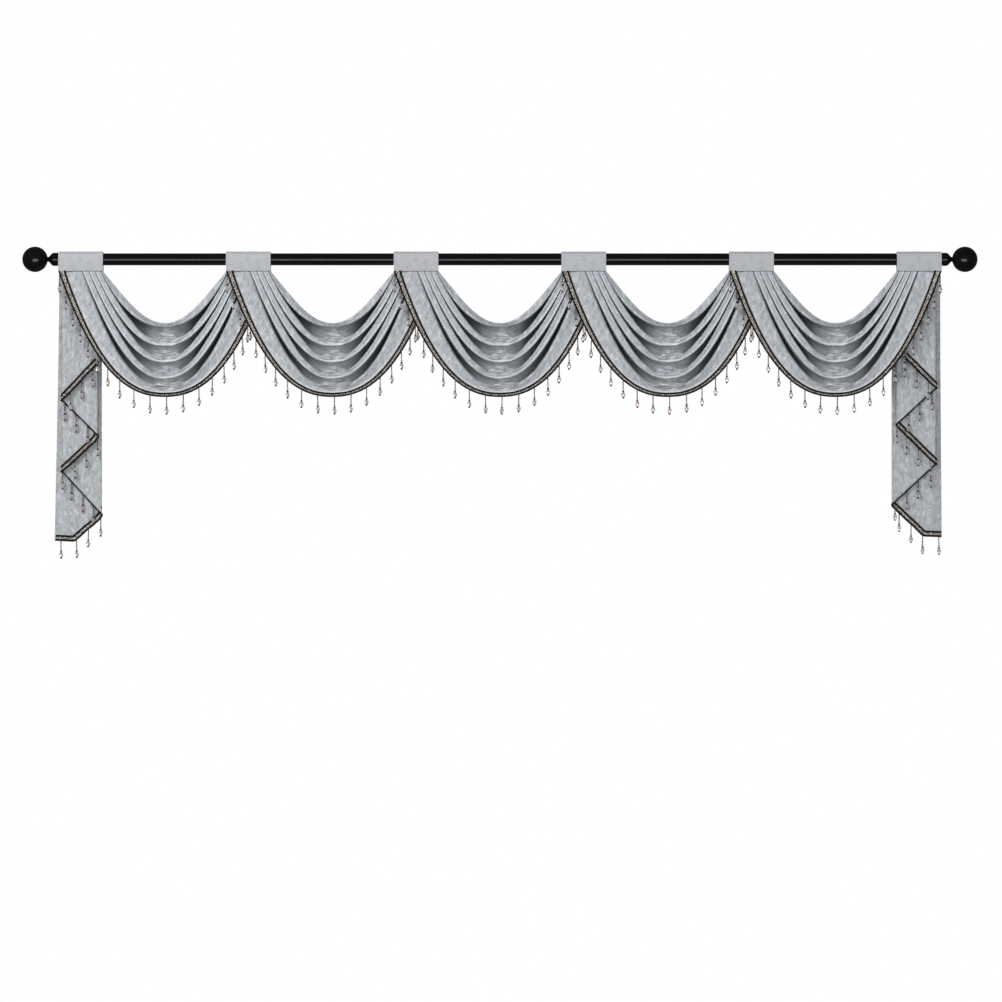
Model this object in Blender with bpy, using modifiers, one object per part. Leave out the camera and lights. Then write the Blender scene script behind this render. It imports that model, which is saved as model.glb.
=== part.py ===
"""Swag and tail drape: five overlapping swags and two cascade tails, tabbed on to a curtain pole.

Metres, +Z up, +X along the pole, -Y towards the room.  The origin is on the pole's axis, at mid
length.
"""
import math
from collections import namedtuple

import bmesh
import bpy
from mathutils import Vector

# ---------------------------------------------------------------- driving dimensions, metres
POLE_RADIUS = 0.017
POLE_HALF_LENGTH = 1.250
POLE_SIDES = 32

COLLAR_RADIUS = 0.0187
COLLAR_LENGTH = 0.0135
NECK_RADIUS = 0.0068
NECK_PLACE = 0.0277
BALL_RADIUS = 0.0362
BALL_PLACE = 0.0657
FINIAL_STEPS = 24

TAB_PITCH = 0.4744
TAB_COUNT = 6
TAB_WIDTH = 0.127
TAB_DROP = 0.034
TAB_THICKNESS = 0.0045
TAB_CLEARANCE = 0.0005
TAB_FOOT = 0.01725
TAB_ARC_STEPS = 10

SWAG_THICKNESS = 0.002
SWAG_STATIONS = 14
STATION_EASE = 0.45
TUCK = 0.013
FRONT_SEAT = -0.0065
BACK_SEAT = 0.0135
MIDDLE_SEAT = 0.006

SEAM_GAP = 0.0009

TAIL_THICKNESS = 0.0015
TAIL_ROWS = 5
TAIL_FRONT = 0.0063
PLY_PITCH_TOP = 0.0019
PLY_PITCH_LOW = 0.0074
PLY_SPREAD_DROP = 0.25
TAIL_TOP_HALF = 0.061
BRAID_RISE = 0.0200
SLOPED_SEAM_GAP = 0.0013

DROP_SPACING = 0.0478
DROP_ROOT = 0.0024
DROP_LEAN = 0.002
SWAG_DROPS_EACH_SIDE = 10

GAP = 0.0003
INNER_HALF = (TAB_PITCH - TAB_WIDTH) / 2
SEAM_Z = -TAB_DROP - GAP

# ---------------------------------------------------------------- tables
# A line across a swag: where it leaves the tab, measured from the tab's inner edge; how far
# below the pole's axis it hangs at the middle; and how round its bow is (1.8 flares out to the
# tabs, 0.8 is a deep bow with steep sides).
FoldLine = namedtuple("FoldLine", "inset drop roundness")
BROW = FoldLine(inset=0.0012, drop=0.1810, roundness=1.79)
CRESTS = (
    FoldLine(inset=0.0030, drop=0.1890, roundness=0.88),
    FoldLine(inset=0.0155, drop=0.2445, roundness=1.08),
    FoldLine(inset=0.0300, drop=0.2910, roundness=1.14),
    FoldLine(inset=0.0535, drop=0.3370, roundness=1.24),
)
HEM = FoldLine(inset=0.1040, drop=0.3778, roundness=0.78)
BRAID_EDGE = FoldLine(inset=0.1220, drop=0.3900, roundness=0.76)
BOW_POWER = 2.2

# How a swag's pleats open from its middle (reach 0) to the tab (reach 1): how deep the pleats
# are, and which share of the way from one crest to the next is the shadowed floor between them.
Opening = namedtuple("Opening", "reach depth floor panel_floor")
OPENINGS = (
    Opening(reach=0.00, depth=0.022, floor=0.40, panel_floor=0.45),
    Opening(reach=0.30, depth=0.028, floor=0.58, panel_floor=0.48),
    Opening(reach=0.55, depth=0.018, floor=0.25, panel_floor=0.28),
    Opening(reach=1.00, depth=0.007, floor=0.12, panel_floor=0.06),
)

# Steps of one pleat between a crest and the next: the share of the way down, where `floor` is
# the floor's own share, and the share of the pleat's depth that it stands forward.
PleatStep = namedtuple("PleatStep", "before_floor after_floor forward")
PLEAT_STEPS = (
    PleatStep(before_floor=0.05, after_floor=0.0, forward=0.00),
    PleatStep(before_floor=1.00, after_floor=0.0, forward=0.12),
    PleatStep(before_floor=1.00, after_floor=0.6, forward=1.00),
)
CREST_FORWARD = 0.92
PANEL_FORWARD = 0.60
BROW_FORWARD = 0.50
ROLL_BACK = -0.10

# A swag hangs between two tabs.  Each end lies either in front of what shares its tab or behind.
Swag = namedtuple("Swag", "name tab left_seat right_seat")
SWAGS = (
    Swag("swag_1", 0, FRONT_SEAT, BACK_SEAT),
    Swag("swag_2", 1, FRONT_SEAT, BACK_SEAT),
    Swag("swag_3", 2, FRONT_SEAT, BACK_SEAT),
    Swag("swag_4", 3, FRONT_SEAT, BACK_SEAT),
    Swag("swag_5", 4, FRONT_SEAT, FRONT_SEAT),
)

# A tail is one sheet folded back and forth.  Each row is an edge of a ply: how far it lies
# outward from the tab's middle, how far the braid's lower edge hangs below the pole there, and,
# where the cloth folds back, how much lower the hem starts again on the ply behind.
PlyEdge = namedtuple("PlyEdge", "outward hem_drop wrap")
Tail = namedtuple("Tail", "side tab outward_sign edges first_drop")
LEFT_EDGES = (
    PlyEdge(outward=-0.048, hem_drop=0.2985, wrap=0.0),
    PlyEdge(outward=0.053, hem_drop=0.400, wrap=0.005),
    PlyEdge(outward=-0.048, hem_drop=0.504, wrap=0.007),
    PlyEdge(outward=0.054, hem_drop=0.602, wrap=0.005),
    PlyEdge(outward=-0.060, hem_drop=0.726, wrap=0.007),
    PlyEdge(outward=0.013, hem_drop=0.800, wrap=0.0),
    PlyEdge(outward=0.070, hem_drop=0.797, wrap=0.0),
)
RIGHT_EDGES = (
    PlyEdge(outward=-0.045, hem_drop=0.276, wrap=0.0),
    PlyEdge(outward=0.048, hem_drop=0.365, wrap=0.006),
    PlyEdge(outward=-0.062, hem_drop=0.470, wrap=0.007),
    PlyEdge(outward=0.049, hem_drop=0.581, wrap=0.005),
    PlyEdge(outward=-0.075, hem_drop=0.696, wrap=0.007),
    PlyEdge(outward=0.013, hem_drop=0.785, wrap=0.0),
    PlyEdge(outward=0.067, hem_drop=0.787, wrap=0.0),
)
TAILS = (
    Tail("left", 0, -1, LEFT_EDGES, 0.018),
    Tail("right", 5, 1, RIGHT_EDGES, 0.018),
)

# A bead drop, as rings below its root: a thread, then a faceted bead drawn to a point.
Ring = namedtuple("Ring", "below radius")
DROP_RINGS = (
    Ring(below=0.030, radius=0.0010),
    Ring(below=0.041, radius=0.0060),
    Ring(below=0.051, radius=0.0009),
)

# The corners of a ring, in turn, as seen from below.
RING_CORNERS = [Vector((math.cos(turn), math.sin(turn), 0.0))
                for turn in (math.pi / 4 - math.pi / 2 * number for number in range(4))]

Finish = namedtuple("Finish", "colour roughness metallic")
BLACK_PAINT = Finish((0.012, 0.012, 0.013), 0.18, 0.0)
GREY_VELVET = Finish((0.50, 0.53, 0.56), 0.85, 0.0)
BEADED_BRAID = Finish((0.42, 0.37, 0.33), 0.55, 0.0)


# ---------------------------------------------------------------- scene helpers
def clear_scene():
    for obj in list(bpy.data.objects):
        bpy.data.objects.remove(obj)


def part_collection():
    collection = bpy.data.collections.new("swag_and_tail_drape")
    bpy.context.scene.collection.children.link(collection)
    return collection


def finish_object(obj, finish, collection):
    """Give the object its own material and move it to the part's collection."""
    material = bpy.data.materials.new(obj.name)
    material.use_nodes = True
    shader = material.node_tree.nodes["Principled BSDF"]
    shader.inputs["Base Color"].default_value = (*finish.colour, 1.0)
    shader.inputs["Roughness"].default_value = finish.roughness
    shader.inputs["Metallic"].default_value = finish.metallic
    obj.data.materials.append(material)
    for other in list(obj.users_collection):
        other.objects.unlink(obj)
    collection.objects.link(obj)


def object_from_bmesh(name, bm):
    mesh = bpy.data.meshes.new(name)
    bm.to_mesh(mesh)
    bm.free()
    obj = bpy.data.objects.new(name, mesh)
    return obj


def grid_bmesh(rows):
    """A grid whose points are the given rows of positions."""
    bm = bmesh.new()
    columns = len(rows[0]) - 1
    bmesh.ops.create_grid(bm, x_segments=len(rows) - 1, y_segments=columns, size=0.5)
    for vert in bm.verts:
        row = round((vert.co.x + 0.5) * (len(rows) - 1))
        column = round((vert.co.y + 0.5) * columns)
        vert.co = rows[row][column]
    return bm


def cloth(name, rows, thickness, finish, collection):
    """A sheet of cloth through the rows of points, which are the middle of its thickness."""
    obj = object_from_bmesh(name, grid_bmesh(rows))
    solidify = obj.modifiers.new("thickness", "SOLIDIFY")
    solidify.thickness = thickness
    solidify.offset = 0.0
    finish_object(obj, finish, collection)
    return obj


def mix(first, second, share):
    return first + (second - first) * share


def tab_middle(index):
    return (index - (TAB_COUNT - 1) / 2) * TAB_PITCH


# ---------------------------------------------------------------- pole and finials
def build_pole(collection):
    bpy.ops.mesh.primitive_cylinder_add(
        vertices=POLE_SIDES, radius=POLE_RADIUS, depth=2 * POLE_HALF_LENGTH,
        rotation=(0.0, math.radians(90), 0.0))
    pole = bpy.context.object
    pole.name = "pole"
    pole.data.shade_smooth()
    finish_object(pole, BLACK_PAINT, collection)


def finial_profile():
    """Radius and height of the turned finial, from the ball's tip down to the pole's end."""
    neck_angle = math.asin(NECK_RADIUS / BALL_RADIUS)
    turns = 12
    points = []
    for step in range(turns + 1):
        angle = (math.pi - neck_angle) * step / turns
        points.append((BALL_RADIUS * math.sin(angle), BALL_PLACE + BALL_RADIUS * math.cos(angle)))
    points.append((NECK_RADIUS, NECK_PLACE))
    points.append((mix(NECK_RADIUS, COLLAR_RADIUS, 0.62), mix(NECK_PLACE, COLLAR_LENGTH, 0.45)))
    points.append((COLLAR_RADIUS, COLLAR_LENGTH))
    points.append((COLLAR_RADIUS, GAP))
    points.append((0.0, GAP))
    return points


def build_finial(side, direction, collection):
    profile = finial_profile()
    bm = bmesh.new()
    verts = [bm.verts.new((radius, 0.0, height)) for radius, height in profile]
    for first, second in zip(verts, verts[1:]):
        bm.edges.new((first, second))
    finial = object_from_bmesh("finial_" + side, bm)
    screw = finial.modifiers.new("turning", "SCREW")
    screw.steps = FINIAL_STEPS
    screw.render_steps = FINIAL_STEPS
    screw.use_merge_vertices = True
    screw.merge_threshold = 0.00001
    finial.location = (direction * POLE_HALF_LENGTH, 0.0, 0.0)
    finial.rotation_euler = (0.0, direction * math.radians(90), 0.0)
    finish_object(finial, BLACK_PAINT, collection)


# ---------------------------------------------------------------- tabs
def tab_section():
    """The tab's section from its back foot, over the pole, to its front foot, as (y, z)."""
    radius = POLE_RADIUS + TAB_CLEARANCE + TAB_THICKNESS / 2
    arc = [math.pi * step / TAB_ARC_STEPS for step in range(TAB_ARC_STEPS + 1)]
    over = [(radius * math.cos(angle), radius * math.sin(angle)) for angle in arc]
    return [(TAB_FOOT, -TAB_DROP), *over, (-TAB_FOOT, -TAB_DROP)]


def build_tab(index, collection):
    middle = tab_middle(index)
    rows = [
        [Vector((middle + side * TAB_WIDTH / 2, y, z)) for side in (-1, 1)]
        for y, z in tab_section()
    ]
    cloth(f"tab_{index + 1}", rows, TAB_THICKNESS, GREY_VELVET, collection)


# ---------------------------------------------------------------- swags
def opening_at(reach, measure):
    """One measure of the pleats' opening, read between the rows of OPENINGS."""
    for near, far in zip(OPENINGS, OPENINGS[1:]):
        if reach <= far.reach:
            share = (reach - near.reach) / (far.reach - near.reach)
            return mix(getattr(near, measure), getattr(far, measure), share)
    return getattr(OPENINGS[-1], measure)


def line_point(line, reach):
    """Distance from the swag's middle, and height, of a fold line at one reach."""
    spread = reach * (1 + STATION_EASE * (1 - reach))
    rise = spread ** BOW_POWER * (line.roundness + (1 - line.roundness) * spread)
    height = mix(-line.drop, SEAM_Z, rise)
    return Vector(((INNER_HALF + line.inset) * spread, height))


def swag_profile(reach):
    """The swag's section at one reach, brow to hem: points in its plane, and forward depth."""
    depth = opening_at(reach, "depth")
    brow = line_point(BROW, reach)
    crests = [line_point(line, reach) for line in CRESTS]
    profile = [
        (brow, ROLL_BACK * depth),
        (brow, BROW_FORWARD * depth),
        (crests[0], CREST_FORWARD * depth),
    ]
    for crest, following in zip(crests, crests[1:]):
        floor = opening_at(reach, "floor")
        profile += [(crest.lerp(following, step.before_floor * floor + step.after_floor * (1 - floor)),
                     step.forward * depth) for step in PLEAT_STEPS]
        profile.append((following, CREST_FORWARD * depth))
    floor = opening_at(reach, "panel_floor")
    hem = line_point(HEM, reach)
    profile += [(crests[-1].lerp(hem, step.before_floor * floor + step.after_floor * (1 - floor)),
                 step.forward * depth * mix(1.0, PANEL_FORWARD, step.after_floor))
                for step in PLEAT_STEPS]
    profile.append((hem, PANEL_FORWARD * depth))
    return profile


def swag_stations():
    """Places across a swag as (side, reach, tuck), the ends tucked up between the tab's feet."""
    half = SWAG_STATIONS // 2
    left = [(-1, step / half, 0.0) for step in range(half, 0, -1)]
    right = [(1, step / half, 0.0) for step in range(half + 1)]
    return [(-1, 1.0, TUCK), *left, *right, (1, 1.0, TUCK)]


def seat_depth(swag, side, reach):
    """How far back the swag's pleat floors lie, eased from the tab's seat to the middle."""
    seat = swag.left_seat if side < 0 else swag.right_seat
    ease = reach * reach * (3 - 2 * reach)
    return mix(MIDDLE_SEAT, seat, ease)


def swag_place(swag, station, point, forward):
    side, reach, tuck = station
    middle = (tab_middle(swag.tab) + tab_middle(swag.tab + 1)) / 2
    return Vector((middle + side * point.x, seat_depth(swag, side, reach) - forward, point.y + tuck))


def build_swag(swag, collection):
    rows = [
        [swag_place(swag, station, point, forward) for point, forward in swag_profile(station[1])]
        for station in swag_stations()
    ]
    cloth(swag.name, rows, SWAG_THICKNESS, GREY_VELVET, collection)


# ---------------------------------------------------------------- bead trims
def path_lengths(points):
    lengths = [0.0]
    for first, second in zip(points, points[1:]):
        lengths.append(lengths[-1] + (second - first).length)
    return lengths


def between(points, lengths, distance):
    """The point that lies a distance along a line, where the line's lengths are given."""
    last = len(lengths) - 2
    index = next((i for i in range(last) if distance <= lengths[i + 1]), last)
    share = (distance - lengths[index]) / (lengths[index + 1] - lengths[index])
    return points[index].lerp(points[index + 1], share)


def strip_marks(lengths, drops):
    """Distances along a strip where it has a section: its corners, and two for each drop."""
    clear = DROP_ROOT
    corners = [mark for mark in lengths if all(abs(mark - drop) > clear for drop in drops)]
    roots = [drop + side * DROP_ROOT / 2 for drop in drops for side in (-1, 1)]
    return sorted(corners + roots)


def root_face(bm, place):
    """The face of the strip's lower edge that a drop hangs from."""
    return min(bm.faces, key=lambda face: (face.calc_center_median() - place).length)


def hang_drop(bm, face):
    """Draw a face of the strip's lower edge out into a thread and its bead."""
    root = face.calc_center_median()
    near = [(vert.co - root) / DROP_ROOT for vert in face.verts]
    turn = min(range(4), key=lambda step: sum(
        (place - RING_CORNERS[(number + step) % 4]).length_squared for number, place in enumerate(near)))
    for ring in DROP_RINGS:
        drawn = bmesh.ops.extrude_discrete_faces(bm, faces=[face])
        face = drawn["faces"][0]
        lean = DROP_LEAN * min(1.0, ring.below / DROP_RINGS[1].below)
        centre = root + Vector((0.0, -lean, -ring.below))
        for number, vert in enumerate(face.verts):
            vert.co = centre + RING_CORNERS[(number + turn) % 4] * ring.radius


def thick_bmesh(obj):
    """The object's mesh with its modifiers applied."""
    bpy.context.view_layer.update()
    graph = bpy.context.evaluated_depsgraph_get()
    mesh = bpy.data.meshes.new_from_object(obj.evaluated_get(graph))
    bm = bmesh.new()
    bm.from_mesh(mesh)
    bpy.data.meshes.remove(mesh)
    return bm


def build_trim(name, upper, lower, drops, thickness, collection):
    """A strip of braid between two lines, with its bead drops fused to the lower edge."""
    lengths = path_lengths(lower)
    marks = strip_marks(lengths, drops)
    rows = [[between(upper, lengths, mark), between(lower, lengths, mark)] for mark in marks]
    trim = cloth(name, rows, thickness, BEADED_BRAID, collection)
    bm = thick_bmesh(trim)
    trim.modifiers.clear()
    for drop in drops:
        near = between(lower, lengths, drop - DROP_ROOT / 2)
        far = between(lower, lengths, drop + DROP_ROOT / 2)
        hang_drop(bm, root_face(bm, (near + far) / 2))
    bm.to_mesh(trim.data)
    bm.free()


def build_swag_trim(swag, collection):
    upper = []
    lower = []
    for station in swag_stations():
        reach = station[1]
        forward = PANEL_FORWARD * opening_at(reach, "depth")
        hem = line_point(HEM, reach)
        edge = line_point(BRAID_EDGE, reach)
        top = hem + (edge - hem).normalized() * SEAM_GAP
        upper.append(swag_place(swag, station, top, forward))
        lower.append(swag_place(swag, station, edge, forward))
    middle = path_lengths(lower)[-1] / 2
    count = SWAG_DROPS_EACH_SIDE
    drops = [middle + number * DROP_SPACING for number in range(-count, count + 1)]
    name = swag.name.replace("swag", "swag_trim")
    build_trim(name, upper, lower, drops, SWAG_THICKNESS, collection)


# ---------------------------------------------------------------- tails
def tail_across(tail, outward, height):
    """Across a tail the plies lie within the tab at the top and spread towards the hem."""
    top = max(-TAIL_TOP_HALF, min(TAIL_TOP_HALF, outward))
    share = min(1.0, max(0.0, (SEAM_Z - height) / 0.3))
    return tab_middle(tail.tab) + tail.outward_sign * mix(top, outward, share)


def ply_depth(ply, height):
    share = min(1.0, max(0.0, (SEAM_Z - height) / PLY_SPREAD_DROP))
    return TAIL_FRONT + ply * mix(PLY_PITCH_TOP, PLY_PITCH_LOW, share)


def tail_columns(tail):
    """Columns across the folded sheet: ply number, outward place, drop of the hem."""
    columns = []
    ply = 0
    for near, far in zip(tail.edges, tail.edges[1:]):
        start = near.hem_drop + near.wrap
        columns.append((ply, near.outward, start))
        columns.append((ply, (near.outward + far.outward) / 2, (start + far.hem_drop) / 2))
        if far.wrap:
            columns.append((ply, far.outward, far.hem_drop))
            ply += 1
    columns.append((ply, tail.edges[-1].outward, tail.edges[-1].hem_drop))
    return columns


def build_tail(tail, collection):
    columns = tail_columns(tail)
    rows = []
    for ply, outward, hem_drop in columns:
        top = SEAM_Z + TUCK
        bottom = -hem_drop + BRAID_RISE + SLOPED_SEAM_GAP
        heights = [top] + [mix(SEAM_Z, bottom, step / TAIL_ROWS) for step in range(TAIL_ROWS + 1)]
        rows.append([Vector((tail_across(tail, outward, height), ply_depth(ply, height), height))
                     for height in heights])
    cloth("tail_" + tail.side, rows, TAIL_THICKNESS, GREY_VELVET, collection)


def build_tail_trim(tail, collection):
    upper = []
    lower = []
    for ply, outward, hem_drop in tail_columns(tail):
        for line, height in ((upper, -hem_drop + BRAID_RISE), (lower, -hem_drop)):
            line.append(Vector((tail_across(tail, outward, height), ply_depth(ply, height), height)))
    length = path_lengths(lower)[-1]
    count = int((length - tail.first_drop) / DROP_SPACING) + 1
    drops = [tail.first_drop + number * DROP_SPACING for number in range(count)]
    build_trim("tail_trim_" + tail.side, upper, lower, drops, TAIL_THICKNESS, collection)


def main():
    clear_scene()
    collection = part_collection()
    build_pole(collection)
    build_finial("left", -1, collection)
    build_finial("right", 1, collection)
    for index in range(TAB_COUNT):
        build_tab(index, collection)
    for swag in SWAGS:
        build_swag(swag, collection)
        build_swag_trim(swag, collection)
    for tail in TAILS:
        build_tail(tail, collection)
        build_tail_trim(tail, collection)


main()
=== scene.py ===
"""Dress the swag and tail drape: velvet swags and tails, plaited braid, bead drops, black pole.

Metres, in the part's own frame: +X along the pole, -Y towards the room, +Z up, with the origin
on the pole's axis at mid length.
"""

import math
from collections import namedtuple

import bpy
import numpy as np
from mathutils import Matrix, Vector, noise


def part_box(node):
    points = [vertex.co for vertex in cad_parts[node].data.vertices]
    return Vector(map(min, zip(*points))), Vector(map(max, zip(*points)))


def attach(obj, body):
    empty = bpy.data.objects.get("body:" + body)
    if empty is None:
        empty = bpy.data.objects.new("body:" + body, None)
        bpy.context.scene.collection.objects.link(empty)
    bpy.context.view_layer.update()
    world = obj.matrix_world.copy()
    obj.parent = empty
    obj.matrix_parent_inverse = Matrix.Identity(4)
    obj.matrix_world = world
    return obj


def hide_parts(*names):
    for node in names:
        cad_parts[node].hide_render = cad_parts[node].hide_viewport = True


bl_info = {
    "name": "Swag and Tail Drape",
    "version": (1, 0, 0),
    "blender": (4, 5, 0),
    "location": "3D View > Sidebar > Drape",
    "description": "Builds a velvet swag and tail drape with beaded braid on its curtain pole",
    "category": "Add Mesh",
}

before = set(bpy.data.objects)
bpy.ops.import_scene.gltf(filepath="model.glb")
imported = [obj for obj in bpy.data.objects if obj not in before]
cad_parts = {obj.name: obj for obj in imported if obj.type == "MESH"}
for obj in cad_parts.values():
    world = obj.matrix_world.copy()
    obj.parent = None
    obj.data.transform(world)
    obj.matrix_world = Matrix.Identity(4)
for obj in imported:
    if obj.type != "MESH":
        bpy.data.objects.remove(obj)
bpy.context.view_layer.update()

# ---------------------------------------------------------------- sizes read from the frame
POLE_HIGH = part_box("pole")[1]
FINIAL_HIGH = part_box("finial_right")[1]
TAB_LOW, TAB_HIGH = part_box("tab_1")
NEXT_TAB_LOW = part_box("tab_2")[0]

POLE_RADIUS = POLE_HIGH.z
POLE_HALF_LENGTH = POLE_HIGH.x
BALL_RADIUS = FINIAL_HIGH.z
BALL_TIP = FINIAL_HIGH.x - POLE_HALF_LENGTH

TAB_COUNT = 6
TAB_PITCH = NEXT_TAB_LOW.x - TAB_LOW.x
TAB_WIDTH = TAB_HIGH.x - TAB_LOW.x
TAB_DROP = -TAB_LOW.z
TAB_THICKNESS = 0.0045
TAB_CLEARANCE = 0.0005
TAB_FOOT = 0.01725
TAB_NARROWED = 0.0005
TAB_SOFTNESS = 0.0004
TAB_STEPS = 70
TAB_COLUMNS = 40

# Stitching on a tab: how far in from its sides, above its foot and proud of its cloth.
STITCH_INSET = 0.0042
STITCH_RISE = 0.0046
STITCH_PROUD = 0.0001
STITCH_THREAD = 0.00032

# A shallow groove round a finial's collar: how deep it is cut, and where along the collar.
COLLAR_GROOVE = ((0.0, 0.0045), (0.0006, 0.0040), (0.0006, 0.0034), (0.0, 0.0029))

INNER_HALF = (TAB_PITCH - TAB_WIDTH) / 2
SEAM_Z = -TAB_DROP - 0.0003
TUCK = 0.013

# ---------------------------------------------------------------- folds of a swag
# A line across a swag: where it leaves the tab, measured from the tab's inner edge; how far
# below the pole's axis it hangs at the middle; and how round its bow is.
FoldLine = namedtuple("FoldLine", "inset drop roundness")
BROW = FoldLine(inset=0.0012, drop=0.1810, roundness=1.79)
LIPS = (
    FoldLine(inset=0.0042, drop=0.1890, roundness=0.90),
    FoldLine(inset=0.0210, drop=0.2445, roundness=1.16),
    FoldLine(inset=0.0380, drop=0.2910, roundness=1.26),
    FoldLine(inset=0.0560, drop=0.3370, roundness=1.28),
)
HEM = FoldLine(inset=0.1055, drop=0.3778, roundness=0.78)
BRAID_EDGE = FoldLine(inset=0.1266, drop=0.3900, roundness=0.76)
BOW_POWER = 2.2

# How the pleats open from the middle (spread 0) to the tab (spread 1): their depth; the share
# of each of the four pleats that is its trough; how high the trough's floor rises; how far the
# face sags back between its upper bend and its rolled lip; and how dark the trough's painted
# shade is.
Opening = namedtuple("Opening", "spread depth first second third lowest floor sag shade")
OPENINGS = (
    Opening(0.00, 0.022, 0.24, 0.24, 0.24, 0.24, 0.46, 0.12, 0.16),
    Opening(0.09, 0.023, 0.40, 0.40, 0.36, 0.32, 0.30, 0.09, 0.30),
    Opening(0.18, 0.025, 0.66, 0.68, 0.68, 0.50, 0.10, 0.05, 0.44),
    Opening(0.30, 0.028, 0.70, 0.60, 0.60, 0.45, 0.00, 0.03, 0.56),
    Opening(0.42, 0.028, 0.62, 0.41, 0.50, 0.34, 0.00, 0.03, 0.74),
    Opening(0.54, 0.024, 0.45, 0.28, 0.33, 0.26, 0.00, 0.04, 0.94),
    Opening(0.65, 0.019, 0.33, 0.19, 0.20, 0.18, 0.00, 0.05, 1.00),
    Opening(0.76, 0.015, 0.20, 0.15, 0.15, 0.12, 0.00, 0.05, 1.00),
    Opening(0.88, 0.010, 0.12, 0.10, 0.10, 0.07, 0.00, 0.04, 0.78),
    Opening(1.00, 0.007, 0.08, 0.07, 0.07, 0.04, 0.00, 0.04, 0.42),
)
LIP_SHARE = 0.070
LIP_FORWARD = 0.97
LIP_KICK = 0.13
BEND_FORWARD = 0.84
RISE_SHARE = 0.26
BED_RISE = 0.10
# Painted highlight on a pleat's face just above its lip, on the painted shading's scale.
FACE_PAINTED_HIGHLIGHT = -0.60
PANEL_FORWARD = 0.60
BROW_FORWARD = 0.50
ROLL_BACK = 0.10
BROW_CLOTH = 0.010
PLEAT_CLOTH = 0.048
STATION_EASE = 0.45

# How far the pleats' opening wanders from one side and one pleat to the next, in spread.
PLEAT_DRIFT = 0.07

# Where a swag's velvet is crushed, and darkened with painted shade: the middle of the zone, and how
# it fades with the spread.
CRUSH_AND_SHADE_MIDDLE = 0.03
CRUSH_AND_SHADE_SPREADS = (0.0, 0.12, 0.26, 0.45, 1.0)
CRUSH_AND_SHADE_SHARES = (1.0, 0.85, 0.40, 0.22, 0.16)

FRONT_SEAT = -0.0065
BACK_SEAT = 0.0135
MIDDLE_SEAT = 0.006

Swag = namedtuple("Swag", "number left_seat right_seat")
SWAGS = (
    Swag(1, FRONT_SEAT, BACK_SEAT),
    Swag(2, FRONT_SEAT, BACK_SEAT),
    Swag(3, FRONT_SEAT, BACK_SEAT),
    Swag(4, FRONT_SEAT, BACK_SEAT),
    Swag(5, FRONT_SEAT, FRONT_SEAT),
)
HALF_STATIONS = 62
SEAM_GAPS = (0.0085, 0.0050, 0.0022)

# ---------------------------------------------------------------- folds of a tail
# Each row is an edge of a ply: how far it lies outward from the tab's middle, how far the
# braid's lower edge hangs below the pole there, and, where the cloth folds back, how much lower
# the hem starts again on the ply behind.
PlyEdge = namedtuple("PlyEdge", "outward hem_drop wrap")
Tail = namedtuple("Tail", "side tab outward_sign edges first_drop drop_spacing")
LEFT_EDGES = (
    PlyEdge(outward=-0.0525, hem_drop=0.2912, wrap=0.0),
    PlyEdge(outward=0.0500, hem_drop=0.4000, wrap=0.0050),
    PlyEdge(outward=-0.0425, hem_drop=0.4972, wrap=0.0180),
    PlyEdge(outward=0.0510, hem_drop=0.6020, wrap=0.0050),
    PlyEdge(outward=-0.0530, hem_drop=0.7208, wrap=0.0167),
    PlyEdge(outward=0.0190, hem_drop=0.8000, wrap=0.0),
    PlyEdge(outward=0.0772, hem_drop=0.7970, wrap=0.0),
)
RIGHT_EDGES = (
    PlyEdge(outward=-0.0450, hem_drop=0.2760, wrap=0.0),
    PlyEdge(outward=0.0445, hem_drop=0.3650, wrap=0.0060),
    PlyEdge(outward=-0.0585, hem_drop=0.4664, wrap=0.0126),
    PlyEdge(outward=0.0455, hem_drop=0.5810, wrap=0.0050),
    PlyEdge(outward=-0.0715, hem_drop=0.6942, wrap=0.0108),
    PlyEdge(outward=0.0130, hem_drop=0.7850, wrap=0.0),
    PlyEdge(outward=0.0670, hem_drop=0.7870, wrap=0.0),
)
TAILS = (
    Tail("left", 0, -1, LEFT_EDGES, 0.0290, 0.0462),
    Tail("right", 5, 1, RIGHT_EDGES, 0.0102, 0.0462),
)

# How far back the front ply lies; how far apart the plies are under the tab and lower down, and
# the drop in which that widens; and how a tail spreads, soon on its inner side and all the way
# down on its outer one.
TAIL_FRONT = 0.0063
PLY_PITCH_TOP = 0.0019
PLY_PITCH_LOW = 0.0074
PLY_SPREAD_DROP = 0.25
TAIL_TOP_HALF = 0.061
TAIL_SPREAD_DROP = 0.30
TAIL_LENGTH = 0.80
HEM_STEP = 0.0008
FOLD_BULGE = 0.50
PLY_COLUMNS = 15
FOLD_COLUMNS = 7
TAIL_ROWS = 90
HEM_SHORT = 0.0058
TAIL_RIPPLE = 0.0017

# Each wave of the ripple across a tail: its share, how fast it turns and where it starts.
RIPPLE_WAVES = ((1.0, 105.0, 0.8), (0.4, 200.0, 2.1))

# How far the cloth swells forward just under the tabs, over which drop it does so, and over
# which drop it falls back again.
SWELL = 0.0068
SWELL_DROP = 0.002
HEM_SWELL_DROP = 0.0065
SWELL_FADE = 0.110

# How much of the lowest panel, in pleats, it takes to come to the hem's own swell.
HEM_ZONE = 0.6

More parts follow.
